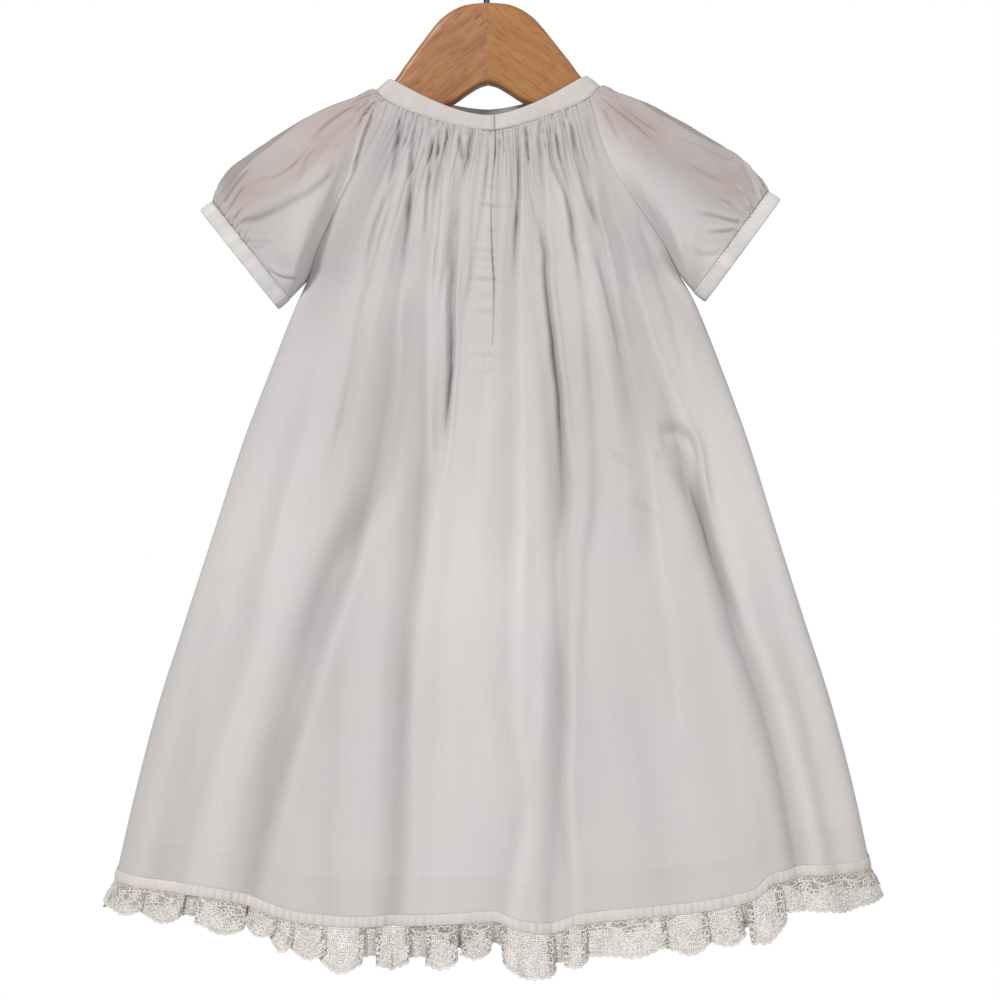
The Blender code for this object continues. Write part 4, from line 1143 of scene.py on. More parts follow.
def sleeve_base(panel, side, column, b):
    """Smooth form of half a sleeve: columns from underarm to crest, b from neck to cuff."""
    a = cuff_share(column)
    point = mix(sleeve_start(panel, side, column), cuff_section(panel, side, a), b[..., None])
    hump = np.sin(np.pi * np.clip(b, 0, 1) ** 1.25) ** 1.2
    early = b**0.72
    lift = SLEEVE_CROWN_RISE * 4 * early * (1 - early)
    lift = lift * a**1.5 + curve(CROWN_PUFF[hand(side)], 1, b) * a**2.5
    point[..., 0] += side * 0.35 * lift
    point[..., 2] += 0.93 * lift
    point[..., 1] += panel["facing"] * SLEEVE_PUFF * np.abs(hump) * oval(a)
    return point


# Folds listed for each sleeve, in the flat view of the back: depth of the
# valley under the line, height of the ridge above it, reach, and its course as (x, drop).
SLEEVE_FOLDS = {
    "left": (
        (1.2, 1.1, 5, ((-140.6, 78.8), (-126.2, 76.2), (-112.1, 70.3), (-96.3, 62.2), (-86.6, 52.3),
                         (-82.5, 40.2))),
        (0.9, 1.2, 1, ((-61, 11), (-66.5, 22.9), (-71.8, 36.8), (-75.6, 56.1))),
        (1.1, 0.9, 2.4, ((-61.8, 8.5), (-80.4, 18.8), (-91.8, 28.6), (-98.5, 38.4))),
        (1.2, 1, 1.5, ((-61, 9.5), (-68, 18), (-73, 28))),
        (0.9, 0.8, 1.3, ((-60.5, 8), (-68, 13), (-75, 20))),
        (0.8, 0.8, 1.2, ((-60, 6.8), (-69, 10), (-79, 15))),
        (1.5, 1.1, 1.8, ((-152.5, 70), (-142.2, 58), (-130.6, 46.1))),
        (1.3, 1, 1.5, ((-148.8, 74.5), (-141, 64), (-134, 55))),
        (0.8, 0.6, 1.2, ((-145.5, 78), (-139, 71.5), (-133, 67))),
        (0.6, 0.5, 1.2, ((-142.5, 81.5), (-137, 77), (-131, 74))),
        (0.5, 0.5, 1.3, ((-138.8, 87.4), (-129.1, 88.6), (-117.3, 89.3))),
        (0.4, 0.4, 1.2, ((-135.8, 91), (-130.1, 91.5), (-123.3, 91.8))),
        (1.2, 0.8, 1.8, ((-125.2, 102.5), (-117.6, 107.8), (-104.3, 109.7))),
        (0.6, 0.3, 5, ((-102, 104), (-92, 86), (-84, 68))),
        (0.7, 0.7, 2, ((-86, 40), (-92, 33), (-98, 31))),
        (0.7, 0.5, 1.8, ((-98, 38), (-108, 49), (-122, 55), (-133, 54))),
        (0.5, 0.4, 1.6, ((-104, 58), (-101, 46), (-94, 38))),
    ),
    "right": (
        (1, 1.3, 1.3, ((58.8, 10), (73.5, 22), (93.1, 41.5))),
        (1, 1.3, 1.3, ((63.2, 6.7), (72.5, 16.9), (86.9, 29.5), (99.4, 37.9))),
        (0.8, 0.8, 1.1, ((59.5, 8), (67, 13.5), (76, 21.5))),
        (0.8, 0.8, 1.3, ((60.5, 13), (67, 26), (73, 40))),
        (0.6, 1.2, 1.8, ((140, 82.6), (130.2, 80.8), (121.8, 78.9), (108.8, 77))),
        (0.6, 1.1, 1.4, ((138.6, 85.4), (130.2, 86.8), (116.8, 87.9))),
        (1.6, 1, 1.8, ((150.5, 69.5), (146.1, 57.4), (139.1, 46.3))),
        (1, 1, 1.2, ((152.5, 67), (150, 61), (146, 55))),
        (1.1, 0.9, 1.4, ((143.5, 76), (140, 68), (136, 63))),
        (0.8, 0.6, 1.4, ((139.5, 80), (133, 73), (125, 69))),
        (1, 0.6, 2.2, ((136, 50), (124, 45), (110, 39), (98, 33))),
        (0.5, 0.4, 2.2, ((128, 99), (117, 100), (106, 96))),
        (0.9, 0.6, 2.4, ((110, 52), (120, 58), (131, 61))),
    ),
}
# Line where the near half of each sleeve folds over, below its far half's crest.
CREST_FOLDS = {
    "left": ((-58.9, 5.1), (-63.4, 6.2), (-80.3, 10.4), (-101.2, 20.1), (-117.6, 33.2), (-133.5, 45.3),
             (-142.1, 55.2), (-151, 68)),
    "right": ((63.2, 6.1), (82.7, 12.6), (94.3, 21.8), (100.9, 24.7), (113.7, 32.8), (124.8, 39.1),
              (136.5, 43.1), (146, 53), (152, 64)),
}


def beside(points, course):
    """Signed distance in the flat view from a course, positive on its lower side, and the share along it."""
    flat = np.stack((points[..., 0], drop_of(points)), axis=-1)
    line = smooth_path(course, 2)
    at = path_length(line) / path_length(line)[-1]
    best = np.full(flat.shape[:-1], 1e9)
    signed = np.zeros_like(best)
    share = np.zeros_like(best)
    for k in range(len(line) - 1):
        leg = line[k + 1] - line[k]
        to = flat - line[k]
        t = np.clip((to @ leg) / (leg @ leg), 0, 1)
        away = to - t[..., None] * leg
        distance = np.linalg.norm(away, axis=-1)
        side = (leg[0] * to[..., 1] - leg[1] * to[..., 0]) * np.sign(leg[0] if abs(leg[0]) > 1e-6 else 1)
        nearer = distance < best
        best = np.where(nearer, distance, best)
        signed = np.where(nearer, distance * np.sign(side), signed)
        share = np.where(nearer, mix(at[k], at[k + 1], t), share)
    return signed, share


def fold_ends(share):
    """A fold grows and runs out softly along its course."""
    return ease(share / 0.12) * ease((1 - share) / 0.3)


def fold_profile(signed, share, deep, high, reach):
    """A soft fold: a ridge above the line that drops sharply into a valley below it."""
    below = np.where(signed > 0, bell(signed, reach, 1.3), bell(signed, 0.3 * reach))
    return fold_ends(share) * (high * bell(signed + 0.9 * reach, 0.8 * reach) - deep * below)


def sleeve_relief(side, half, column, b, base):
    """Gathers at the neck and at the cuff, the listed folds and small dents."""
    seed = 41 + 7 * side + 3 * half
    on_neck = rise(column, SEAM_COLUMNS - 1, 2)
    wobble = 0.25 * wander(seed + 31, b * 26 + 5 * np.floor(column))
    phase = column * 1.25 + 0.5 * wander(seed, column * 0.7) + wobble * fade(b, 0, 0.2)
    shape, ridge = ridges(phase, 0.35, 1.1, 3)
    reach = 0.10 + 0.30 * uneven(seed + 2, ridge) ** 1.6
    neck = on_neck * fade(b, 0, reach) * ease(b / 0.02 + 0.5)
    fine = 1.5 * shape * neck * (0.3 + uneven(seed + 3, ridge))
    fine += 0.75 * drift(seed + 17, column * 1.5, b * 42) * on_neck * fade(b, 0, 0.12) * ease(b / 0.015)
    share = cuff_share(column)
    shape, ridge = ridges(share * 30 + 0.5 * wander(seed + 5, column), 0.35, 1.1, 2.5)
    reach = 0.06 + 0.20 * uneven(seed + 6, ridge) ** 2
    on_cuff = mix(0.25, 1, rise(share, 0.35, 0.25))
    cuff = on_cuff * ease((b - 1 + reach) / reach)
    fine += 1.3 * shape * cuff * (0.3 + uneven(seed + 7, ridge))
    fine += 0.5 * drift(seed + 37, share * 60, b * 60) * on_cuff * rise(b, 0.93, 0.04)
    folds = sum(fold_profile(*beside(base, course), *size) for *size, course in SLEEVE_FOLDS[hand(side)])
    folds = folds * (0.6 if half else 1) * ease(b / 0.03) * (1 - 0.6 * rise(b, 0.95, 0.05))
    dents = 0.75 * drift(seed + 21, column / 3.4, b * 4.2) + 0.35 * drift(seed + 23, column / 1.7, b * 8.5)
    dents = dents + 0.12 * drift(seed + 25, column / 0.8, b * 19)
    return fine + folds + dents * ease(b / 0.10) * (1 - 0.6 * rise(b, 0.88, 0.12))


def painted_arm_shade(points, half):
    """Where the hanger's arm shows through the thin cloth: strength of a soft warm painted shade."""
    x = np.abs(points[..., 0])
    drop = drop_of(points)
    arm = np.interp(x, (55, 70, 83, 105, 119, 141), (12, 20, 27, 41, 50, 64))
    away = np.abs(drop - arm) / np.where(drop < arm, 30, 17)
    glow = np.exp(-away**2.6) * (1 - 0.7 * rise(x, 134, 20)) * rise(x, 56, 16)
    glow = glow * (0.85 + 0.3 * drift(19, x / 15, drop / 12))
    return glow * (1 if half == 0 else 0.6)


def sleeve_half(side, half, kind, column, b):
    """Form and relief of half a sleeve, and how far it lies beyond the line where it folds over."""
    base = sleeve_base(PANELS[kind], side, column, b)
    beyond = np.zeros_like(b)
    if half == 0:
        signed, _ = beside(base, CREST_FOLDS[hand(side)])
        beyond = ease((0.4 - signed) / 1.2) * ease(b / 0.12) * fade(b, 0.90, 0.1)
        beyond = beyond * (column > SEAM_COLUMNS)
    return base, sleeve_relief(side, half, column, b, base) * ease(column / 1.2) - 1.5 * beyond, beyond


def ring_of(near, far):
    """One grid round the sleeve from its halves, which meet in their first and last columns."""
    return np.concatenate((near, far[:, ::-1][:, 1:-1]), axis=1)


def sleeve_painted_shade(side, points, column, b, beyond):
    """Painted shade of a sleeve: its crown, seams and turned edge darker, painted light and shade along the
    raglan seam and across its middle, and a warm painted shade where the hanger's arm shows through.
    """
    near = column.shape[1]
    glow = np.concatenate((painted_arm_shade(points[:, :near], 0), painted_arm_shade(points[:, near:], 1)), axis=1)
    share = cuff_share(column)
    crown = rise(ring_of(share, share), 0.25, 0.35)
    right = (side + 1) / 2
    lower = mix(0.90, 1.01, right)
    column = ring_of(column, column)
    at_seam = fade(b, 0, 0.5) * fade(column, SEAM_COLUMNS - 2, 4)
    seam = 0.04 * bell(b - 1, 0.02)
    # Painted shade: darker at the crown, beyond the turned edge and at the cuff seam; the lower part lighter
    # on the right.
    shade = (1 - seam) * (1 - 0.24 * beyond) * mix(lower, 0.77 - 0.005 * side, crown)
    # Painted light and shade along the raglan seam and across the middle, by side, and painted light towards
    # the cuff on the right.
    middle = bell(b - mix(0.34, 0.42, right), 0.22) * fade(column, SEAM_COLUMNS - 1, 6)
    shade = shade * (1 - 0.07 * side * at_seam) * (1 - (0.04 + 0.07 * side) * middle)
    shade = shade * (1 + 0.055 * (1 + side) * rise(b, 0.6, 0.3) * mix(0.35, 1, crown))
    # Warm painted shade where the hanger's arm lies behind the cloth.
    warm = [shade * (1 - share * glow) for share in (0.05, 0.155, 0.19)]
    return np.stack(warm, axis=-1) * (1, 0.985, 0.985)


def make_sleeve(side):
    rows = np.concatenate((np.linspace(0, 0.2, 18), np.linspace(0.2, 0.8, 30)[1:],
                           np.linspace(0.8, 1, 20)[1:]))[:, None]
    column = np.linspace(0, SLEEVE_COLUMNS, SLEEVE_STEPS + 1)[None, :]
    grid = np.broadcast_arrays(column, rows)
    halves = [sleeve_half(side, half, kind, *grid) for half, kind in enumerate(("back", "front"))]
    base, relief, beyond = [ring_of(near, far) for near, far in zip(*halves)]
    normals = turned(grid_normals(base, wrap=True), base - base.mean(axis=1, keepdims=True))
    points = base + normals * (relief - 0.30 * bell(rows, 0.012))[..., None]
    points[0, :, 0] -= side * 0.5
    tint = sleeve_painted_shade(side, points, column, rows, beyond)
    points, tint = [np.concatenate((part, part[:, :1]), axis=1) for part in (points, tint)]
    uv = flat_grid(np.linspace(0, 2 * SLEEVE_HALF_GIRTH, 2 * SLEEVE_STEPS + 1), rows[:, 0] * SLEEVE_LENGTH)
    node = "sleeve_" + hand(side)
    obj = sew(node + "_puffed", [(points, uv, tint)], sleeve_cloth, (node,),
              wall=CLOTH_WALL, weld=True)


CUFF_SECTION = (
    # share of the width, how far out
    (0, -0.50),
    (0.01, 0.05),
    (0.08, 0.42),
    (0.30, 0.55),
    (0.60, 0.60),
    (0.88, 0.48),
    (0.99, 0.10),
    (1.01, -0.40),
    (0.96, -0.95),
    (0.70, -1.15),
    (0.30, -1.15),
    (0.06, -1),
)


def cuff_frame(side, count):
    """Points round the sleeve's end, the way along the cuff's width and its normals."""
    a = np.linspace(0, 1, count + 1)
    ring = np.concatenate((cuff_section(PANELS["back"], side, a),
                           cuff_section(PANELS["front"], side, a[::-1])[1:]))
    ring = resample(ring, 2 * count + 1)
    way = unit(np.array((side * (CUFF_TOP[0] - CUFF_BOTTOM[0]), 0, CUFF_BOTTOM[1] - CUFF_TOP[1])))
    outward = turned(np.array((side * way[2], 0, -side * way[0])), (side, 0, 0))
    around = np.concatenate((ring[1:], ring[1:2])) - np.concatenate((ring[-2:-1], ring[:-1]))
    return ring, outward, turned(unit(np.cross(around, outward)), ring - ring.mean(axis=0))


def make_cuff(side):
    ring, outward, normal = cuff_frame(side, 90)
    at = path_length(ring)

    def raised(share, out):
        ripple = 0.25 * wander(17 + 5 * share + side, at / 4) + 0.16 * wander(23 + side, at / 1.9)
        return out * 0.9 + 0.25 * share + ripple * ease(np.minimum(at, at[-1] - at) / 4)

    points = fold_strip(CUFF_SECTION, ring, outward * CUFF_WIDTH, normal, raised)
    tint = plain_tint(points) * (0.93 - 0.09 * ease(np.abs(wander(31 + side, at / 9)) * 2))[:, None]
    node = "cuff_" + hand(side)
    obj = sew_band(node + "_folded", node, points, at, 20, tint)


# ------------------------------------------------------------ hem band and lace


def hem_frame(kind, s):
    """Outer point, normal and downward way at the hem, for an array of s."""
    panel = PANELS[kind]
    length = panel_length(panel)
    points = panel_points(panel, COURSES[kind], *np.meshgrid(s, (length - 8, length - 4, length)))
    down = unit(points[2] - points[0])
    normal = unit(np.cross(down, np.gradient(points[2], axis=0)))
    return points[2], turned(normal, (0, panel["facing"], 0)), down


HEM_OVERLAP = 0.1
HEM_SECTION = (
    # share of the height, how far out
    (-0.10, -0.25),
    (-0.16, 0.12),
    (0.05, 0.58),
    (0.50, 0.70),
    (0.90, 0.48),
    (1, 0.10),
    (0.98, -0.40),
    (0.50, -0.60),
    (0.10, -0.55),
    (0.03, -0.02),
)


def make_hem_band(kind):
    s = np.linspace(-1, 1, 900)
    outer, normal, down = hem_frame(kind, s)
    at = path_length(outer)
    seed = 51 if kind == "back" else 61
    phase = at / 4.3 + 0.5 * wander(seed, at / 17)
    block = np.floor(phase)
    swell = np.sin(np.pi * (phase - block))
    ruched = 0.35 + 0.65 * ease(2.2 * wander(seed + 6, at / 38) + 0.4)
    puff = (0.62 * swell**0.6 * (0.3 + uneven(seed + 1, block)) - 0.25) * ruched

    def raised(share, out):
        return out + (puff + 0.3 * wander(seed + 3, at / 6 + share * 0.8)) * edge_fade(s) ** 0.5

    points = fold_strip(HEM_SECTION, outer + down * HEM_OVERLAP, down * (HEM_BAND_HEIGHT - HEM_OVERLAP),
                        normal, raised)
    shade = 1 - (0.12 * (1 - swell**0.5) + 0.03 * uneven(seed + 4, block)) * ruched
    tint = plain_tint(points, (0.93, 0.895, 0.865)) * shade[:, None]
    node = "hem_band_" + kind
    obj = sew_band(node + "_ruched", node, points, at, 13, tint)
    close_ends(obj)


def lace_course():
    """Course of the gathered lace's lower edge: across, stand-out, depth and slant."""
    points = []
    for k, (left, right, depth, stand) in enumerate(LACE_LOBES):
        last = k == len(LACE_LOBES) - 1
        tucked = k > 0 and left < LACE_LOBES[k - 1][1] + 0.004
        start = (0, 3) if k == 0 else (-0.1, 3.6) if tucked else (0.6 * stand, 2.8)
        width = right - left
        lobe = [(left, *start), (left + 0.16 * width, 0.8 * stand, 1.9), (left + 0.5 * width, stand, -0.8),
                (right - 0.2 * width, 1.1 * stand, 0.9)]
        lobe += [(right, 0, 3)] if last else [(right, 0.8 * stand, 4.4), (right - LOBE_FOLD, 0, 4)]
        slant = 2.4 * (chance(71, k) - 0.5)
        points += [(across, out, depth - short, slant) for across, out, short in lobe]
        if last:
            break
        after, _, after_depth, _ = LACE_LOBES[k + 1]
        dip = min(depth, after_depth) - 5.6 - 2 * chance(73, k)
        start = after + (LOBE_FOLD if after > right + 0.004 else 0)
        points.append((right - 0.6 * LOBE_FOLD, -1, dip + 0.3, 0))
        if start > right + 0.02:
            points += [((right + after) / 2, -1.1, dip, 0), (after + 0.6 * LOBE_FOLD, -1, dip + 0.4, 0),
                       (start, 0, after_depth - 4, 0)]
    return np.array(points)


class LaceFall:
    """The gathered lace under one panel, as a map from the flat lace to the dress."""

    def __init__(self, kind):
        half = SIDE_EDGE[-1][1]
        facing = PANELS[kind]["facing"]
        path = smooth_path(lace_course() * (half, LACE_STAND, 1, 1), 1)
        self.fine = np.linspace(-1, 1, 1201)
        across = np.clip(path[:, 0] / half, -1, 1)
        self.s = np.interp(across, across_spread(self.fine), self.fine) * -facing
        self.stand, self.depth, self.slant = path[:, 1], path[:, 2], path[:, 3]
        self.outer, self.normal, self.down = hem_frame(kind, self.fine)
        self.at = np.arange(len(path), dtype=float)
        self.flat = path_length(self.points_at(self.at, np.ones_like(self.at)))
        self.length = float(self.flat[-1])
        self.turn = 1
        u, w = np.linspace(2, self.length - 2, 200), np.full(200, 8)
        raised = self.lay_out(u, w, 1) - self.lay(u, w)
        self.turn = -1 if np.sum(raised[:, 1]) * facing < 0 else 1

    def points_at(self, at, share):
        s, stand, depth, slant = [np.interp(at, self.at, values)
                                  for values in (self.s, self.stand, self.depth, self.slant)]
        outer, normal, down = [read_at(s, self.fine, values)
                               for values in (self.outer, self.normal, self.down)]
        swing = stand * mix(0.2, 1, share**0.8) * edge_fade(s)
        point = outer + down * (HEM_BAND_HEIGHT - 0.4 + share * depth)[..., None]
        point[..., 0] += slant * share**1.5 * edge_fade(s)
        point[..., 0] += 4.2 * np.sign(point[..., 0]) * share * np.abs(s) ** 26
        return point + normal * (swing - 0.2)[..., None]

    def lay(self, u, w):
        """Point of the dress for flat position u along the lace and w down it."""
        return self.points_at(np.interp(u, self.flat, self.at), w / LACE_FLAT_DEPTH)

    def lay_out(self, u, w, out):
        """The same, raised above the net by out."""
        along = self.lay(u + 0.3, w) - self.lay(u - 0.3, w)
        down = self.lay(u, w + 0.3) - self.lay(u, w - 0.3)
        normal = unit(np.cross(along, down)) * self.turn
        return self.lay(u, w) + normal * np.asarray(out)[..., None]


def scallop_edge(u):
    """Depth of the flat lace down to its scalloped edge."""
    small = 1 - np.abs(np.sin(np.pi * u / SCALLOP)) ** 0.8
    wide = 1 - np.abs(np.sin(np.pi * u / (5 * SCALLOP))) ** 0.8
    return LACE_FLAT_DEPTH - 1 * small - 0.9 * wide


def make_net(kind, fall):
    """Ground of the lace: an even net with its holes cut through."""
    columns, rows = int(fall.length / NET_CELL), int(LACE_FLAT_DEPTH / NET_CELL)
    bm = bmesh.new()
    bmesh.ops.create_grid(bm, x_segments=columns, y_segments=rows, size=1)
    row, column = np.meshgrid(np.arange(rows + 1), np.arange(columns + 1), indexing="ij")
    share = row / rows
    inner = (row > 0) & (row < rows) & (column > 0) & (column < columns)
    shift = 0.25 * NET_CELL * np.where(row % 2 == 0, 1, -1)
    u = np.clip(column * (fall.length / columns) + shift * np.sin(np.pi * share), 0, fall.length)
    u = u + 0.5 * NET_CELL * (uneven(13, row * 7.3 + column * 1.7) - 0.5) * inner
    share = share + 0.5 * (uneven(17, row * 3.1 + column * 2.3) - 0.5) / rows * inner
    move_to(bm.verts, fall.lay(u, share * scallop_edge(u)))
    bm.normal_update()
    face_towards(bm, (0, PANELS[kind]["facing"], 0))
    bm.normal_update()
    holes = bm.faces[:]
    bmesh.ops.inset_individual(bm, faces=holes, thickness=NET_YARN * MM, use_even_offset=False)
    bmesh.ops.delete(bm, geom=holes, context="FACES")
    return finish_object("lace_net_" + kind, bm, net_thread, ("lace_" + kind,))


def leaf(u, w, angle, length, width):
    """Points of a pointed leaf on the flat lace: along, down and raised, three to a row."""
    side, t = np.meshgrid(np.linspace(-1, 1, 3), np.linspace(0, 1, 6))
    along = t * length
    aside = side * width / 2 * np.sin(np.pi * np.clip(t, 0.03, 0.97)) ** 0.8
    out = 0.16 + 0.2 * (1 - side**2) * np.sin(np.pi * t)
    c, s = math.cos(angle), math.sin(angle)
    return np.stack((u + along * c - aside * s, w + along * s + aside * c, out), axis=-1)


def cord_strip(path, width, out=0.3):
    """Points of a raised cord along a path on the flat lace, three to a row."""
    along = unit(np.gradient(path, axis=0))
    aside = np.stack((-along[:, 1], along[:, 0]), axis=-1)
    rows = [np.insert(path + aside * (k * width / 2), 2, high, axis=1)
            for k, high in ((-1, 0.10), (0, out), (1, 0.10))]
    return np.stack(rows, axis=1)


MOTIF_REPEAT = 22
# Flowers of one repeat: along, down, petals, petal length
FLOWERS = (
    (5.5, 14, 6, 3.8),
    (16.5, 15, 5, 3.4),
    (11, 6.6, 6, 2.8),
    (0.6, 7.4, 5, 2.3),
)


def lace_motifs(length):
    """Flowers, leaves, curled tendrils and corded edges of one length of lace."""
    grids = []

    def cord(u, w, width, out=0.3):
        grids.append(cord_strip(np.stack((u, w), axis=-1), width, out))

    def curl(u, w, radius, start, end, count, width, out=0.3):
        angle = np.linspace(start, end, count)
        cord(u + radius * np.cos(angle), w + radius * np.sin(angle), width, out)

    for k in range(int(length / MOTIF_REPEAT) + 1):
        u0 = k * MOTIF_REPEAT
        for along, down, petals, size in FLOWERS:
            for p in range(petals):
                angle = 2 * np.pi * p / petals + along
                grids.append(leaf(u0 + along + 0.5 * math.cos(angle), down + 0.5 * math.sin(angle), angle,
                                  size, size * 0.46))
            curl(u0 + along, down, 0.8, 0, 2 * np.pi, 8, 0.6, 0.45)
            curl(u0 + along, down, size + 0.7, along, along + 5, 16, 0.7, 0.6)
        stem = np.linspace(0, MOTIF_REPEAT, 26)
        for low, swell, turn in ((10.2, 1.8, 0), (3.8, 0.8, 1.4), (18.4, 0.6, 2.6)):
            cord(u0 + stem, low + swell * np.sin(2 * np.pi * stem / MOTIF_REPEAT + turn), 0.8, 0.5)
        for j in range(20):
            u, down = u0 + MOTIF_REPEAT * ((j * 0.618) % 1), 1.5 + 18.4 * chance(3, j)
            angle = 6.3 * chance(5, j)
            if j % 3:
                curl(u, down, 1.3 + 1.1 * chance(7, j), angle, angle + 4, 10, 0.75, 0.6)
            else:
                grids.append(leaf(u, down, angle, 2.6 + chance(9, j), 1.1))
        for tooth in range(int(MOTIF_REPEAT / SCALLOP + 0.5)):
            u = u0 + SCALLOP * tooth + np.linspace(0, SCALLOP, 8)
            edge = scallop_edge(u)
            cord(u, edge - 0.2, 1.1, 0.45)
            curl(u[4], edge[4] - 2.6, 1.3, 0, 6.3, 9, 0.6, 0.5)
            curl(u0 + SCALLOP * (tooth + 0.5), 2.4, 1.7, np.pi, 2 * np.pi, 7, 0.5)
    return grids


def make_motifs(kind, fall):
    """All raised figures of the lace, cut from one long strip three points wide."""
    figures = [figure for figure in lace_motifs(fall.length)
               if figure[..., 0].min() > 0.5 and figure[..., 0].max() < fall.length - 0.5]
    u, w, out = np.moveaxis(np.concatenate(figures), -1, 0)
    bm = bmesh.new()
    bmesh.ops.create_grid(bm, x_segments=2, y_segments=len(u) - 1, size=1)
    move_to(bm.verts, fall.lay_out(u, np.clip(w, 0.4, scallop_edge(u) + 0.4), out))
    bm.verts.index_update()
    ends = set((np.cumsum([len(figure) for figure in figures]) - 1)[:-1].tolist())
    joins = [face for face in bm.faces if min(v.index for v in face.verts) // 3 in ends]
    bmesh.ops.delete(bm, geom=joins, context="FACES")
    bm.normal_update()
    face_towards(bm, (0, PANELS[kind]["facing"], 0))
    return finish_object("lace_motifs_" + kind, bm, motif_thread)


def make_lace(kind):
    fall = LaceFall(kind)
    net = make_net(kind, fall)
    motifs = make_motifs(kind, fall)


# ------------------------------------------------------------ hanger and hook

BOARD = 13
BOARD_ROUNDING = 3
HANGER_CROWN_DROP = -43.7
HANGER_UPPER_EDGE = (
    (6, -43.4), (13, -42.3), (20, -39.2), (26, -34.8), (31, -29.2),
    (36, -22.8), (41.5, -15.6), (46.5, -9), (51, -2.6), (55, 1.6),
    (60, 6.2), (68, 10.2), (80, 14.6), (94, 22.4), (108, 32.4),
    (122, 43.4), (133, 52.8),
)
HANGER_LOWER_EDGE = (
    (130, 76), (116, 67.6), (98, 53.4), (78, 39.4), (58, 27.8),
    (40, 19.6), (30, 15.6), (25, 14), (20, 12), (11, 6.2), (4, 2.2),
)
HANGER_TIP = (133.5, 65.2)
HANGER_TIP_RADIUS = 11.6
NOTCH_DROP = 1.2
WIRE = 3.5
HOOK_RADIUS = 18
SHANK_HOLE = 4.2
SHANK_DEPTH = 14
GLUE_GAP = 0.02
CROWN_HEIGHT = -SHOULDER_BELOW_HOOK - HANGER_CROWN_DROP
HOOK_CENTRE = WIRE / 2 - HOOK_RADIUS
HOOK_BEND = (-48, 192)
HOOK_NECK = 9
HOOK_REACH = 11


def hanger_outline():
    tip_x, tip_drop = HANGER_TIP
    tip = []
    for k in range(1, 10):
        angle = math.radians(mix(50, -105, k / 10))
        tip.append((tip_x + HANGER_TIP_RADIUS * math.cos(angle),
                    tip_drop - HANGER_TIP_RADIUS * math.sin(angle)))
    whole = ((GLUE_GAP, HANGER_CROWN_DROP),) + HANGER_UPPER_EDGE + tuple(tip) + HANGER_LOWER_EDGE
    whole = whole + ((GLUE_GAP, NOTCH_DROP),)
    return smooth_path(whole, 2.2)


def shank_cutter():
    bm = bmesh.new()
    radius = SHANK_HOLE / 2 * MM
    bmesh.ops.create_cone(bm, cap_ends=True, segments=24, radius1=radius, radius2=radius,
                          depth=2 * (SHANK_DEPTH + 0.5) * MM)
    bmesh.ops.translate(bm, verts=bm.verts[:], vec=(0, 0, CROWN_HEIGHT * MM))
    return link("shank_cutter", mesh_from(bm, "shank_cutter"))


def make_board(side, material, cutter):
    """Half of the hanger: an extruded outline, rounded but for its glued end, with the shank's hole."""
    bm = bmesh.new()
    outline = hanger_outline()
    flat = place(side * outline[:, 0], -BOARD / 2, outline[:, 1]) * MM
    face = bm.faces.new([bm.verts.new(co) for co in flat.tolist()])
    grown = bmesh.ops.extrude_face_region(bm, geom=[face])
    moved = [item for item in grown["geom"] if isinstance(item, bmesh.types.BMVert)]
    bmesh.ops.translate(bm, verts=moved, vec=(0, BOARD * MM, 0))
    bmesh.ops.recalc_face_normals(bm, faces=bm.faces[:])
    rounded = []
    for edge in bm.edges:
        start, end = [v.co for v in edge.verts]
        glued = max(abs(start.x), abs(end.x)) < 0.2 * MM
        if abs(start.y - end.y) < 1e-9 and not glued:
            rounded.append(edge)
    bmesh.ops.bevel(bm, geom=rounded, offset=BOARD_ROUNDING * MM, segments=5, profile=0.5,
                    affect="EDGES", clamp_overlap=True, material=-1)
    bmesh.ops.triangulate(bm, faces=[f for f in bm.faces if len(f.verts) > 4])
    name = "hanger_board_" + hand(side)
    obj = finish_object(name, bm, material, ("hanger_" + hand(side),))
    cut = obj.modifiers.new("shank hole", "BOOLEAN")
    cut.operation = "DIFFERENCE"
    cut.object = cutter
    drilled = bpy.data.meshes.new_from_object(obj.evaluated_get(bpy.context.evaluated_depsgraph_get()))
    obj.modifiers.clear()
    obj.data = drilled
    drilled.name = name
    drilled.set_sharp_from_angle(angle=math.radians(40))


def make_hanger():
    cutter = shank_cutter()
    make_board(-1, pink_beech, cutter)
    make_board(1, gold_beech, cutter)
    bpy.data.objects.remove(cutter, do_unlink=True)


def on_bend(angle):
    return np.array((HOOK_RADIUS * math.cos(angle), HOOK_CENTRE + HOOK_RADIUS * math.sin(angle)))


def make_hook():
    """Wire from the foot of its shank, over a soft neck and round the bend."""
    first, last = [math.radians(angle) for angle in HOOK_BEND]
    joint = on_bend(first)
    foot = np.array((0, CROWN_HEIGHT - SHANK_DEPTH))
    neck = np.array((0, CROWN_HEIGHT + HOOK_NECK))
    above_neck = neck + (0, HOOK_REACH)
    before_joint = joint - np.array((-math.sin(first), math.cos(first))) * HOOK_REACH
    points = [foot, mix(foot, neck, 0.6), neck]
    for t in np.arange(1, 14) / 14:
        points.append((1 - t)**3 * neck + 3 * (1 - t)**2 * t * above_neck
                      + 3 * (1 - t) * t**2 * before_joint + t**3 * joint)
    points += [on_bend(mix(first, last, k / 48)) for k in range(49)]
    shape = bpy.data.curves.new("hook_wire_bend", "CURVE")
    shape.dimensions = "3D"
    shape.bevel_depth = WIRE / 2 * MM
    shape.bevel_resolution = 5
    shape.use_fill_caps = True
    spline = shape.splines.new("POLY")
    spline.points.add(len(points) - 1)
    for target, (x, z) in zip(spline.points, points):
        target.co = (x * MM, 0, z * MM, 1)
    shape.materials.append(hook_wire)
    declare(link("hook_wire_bend", shape), ("hook",))


# ------------------------------------------------------------ placket and stitches


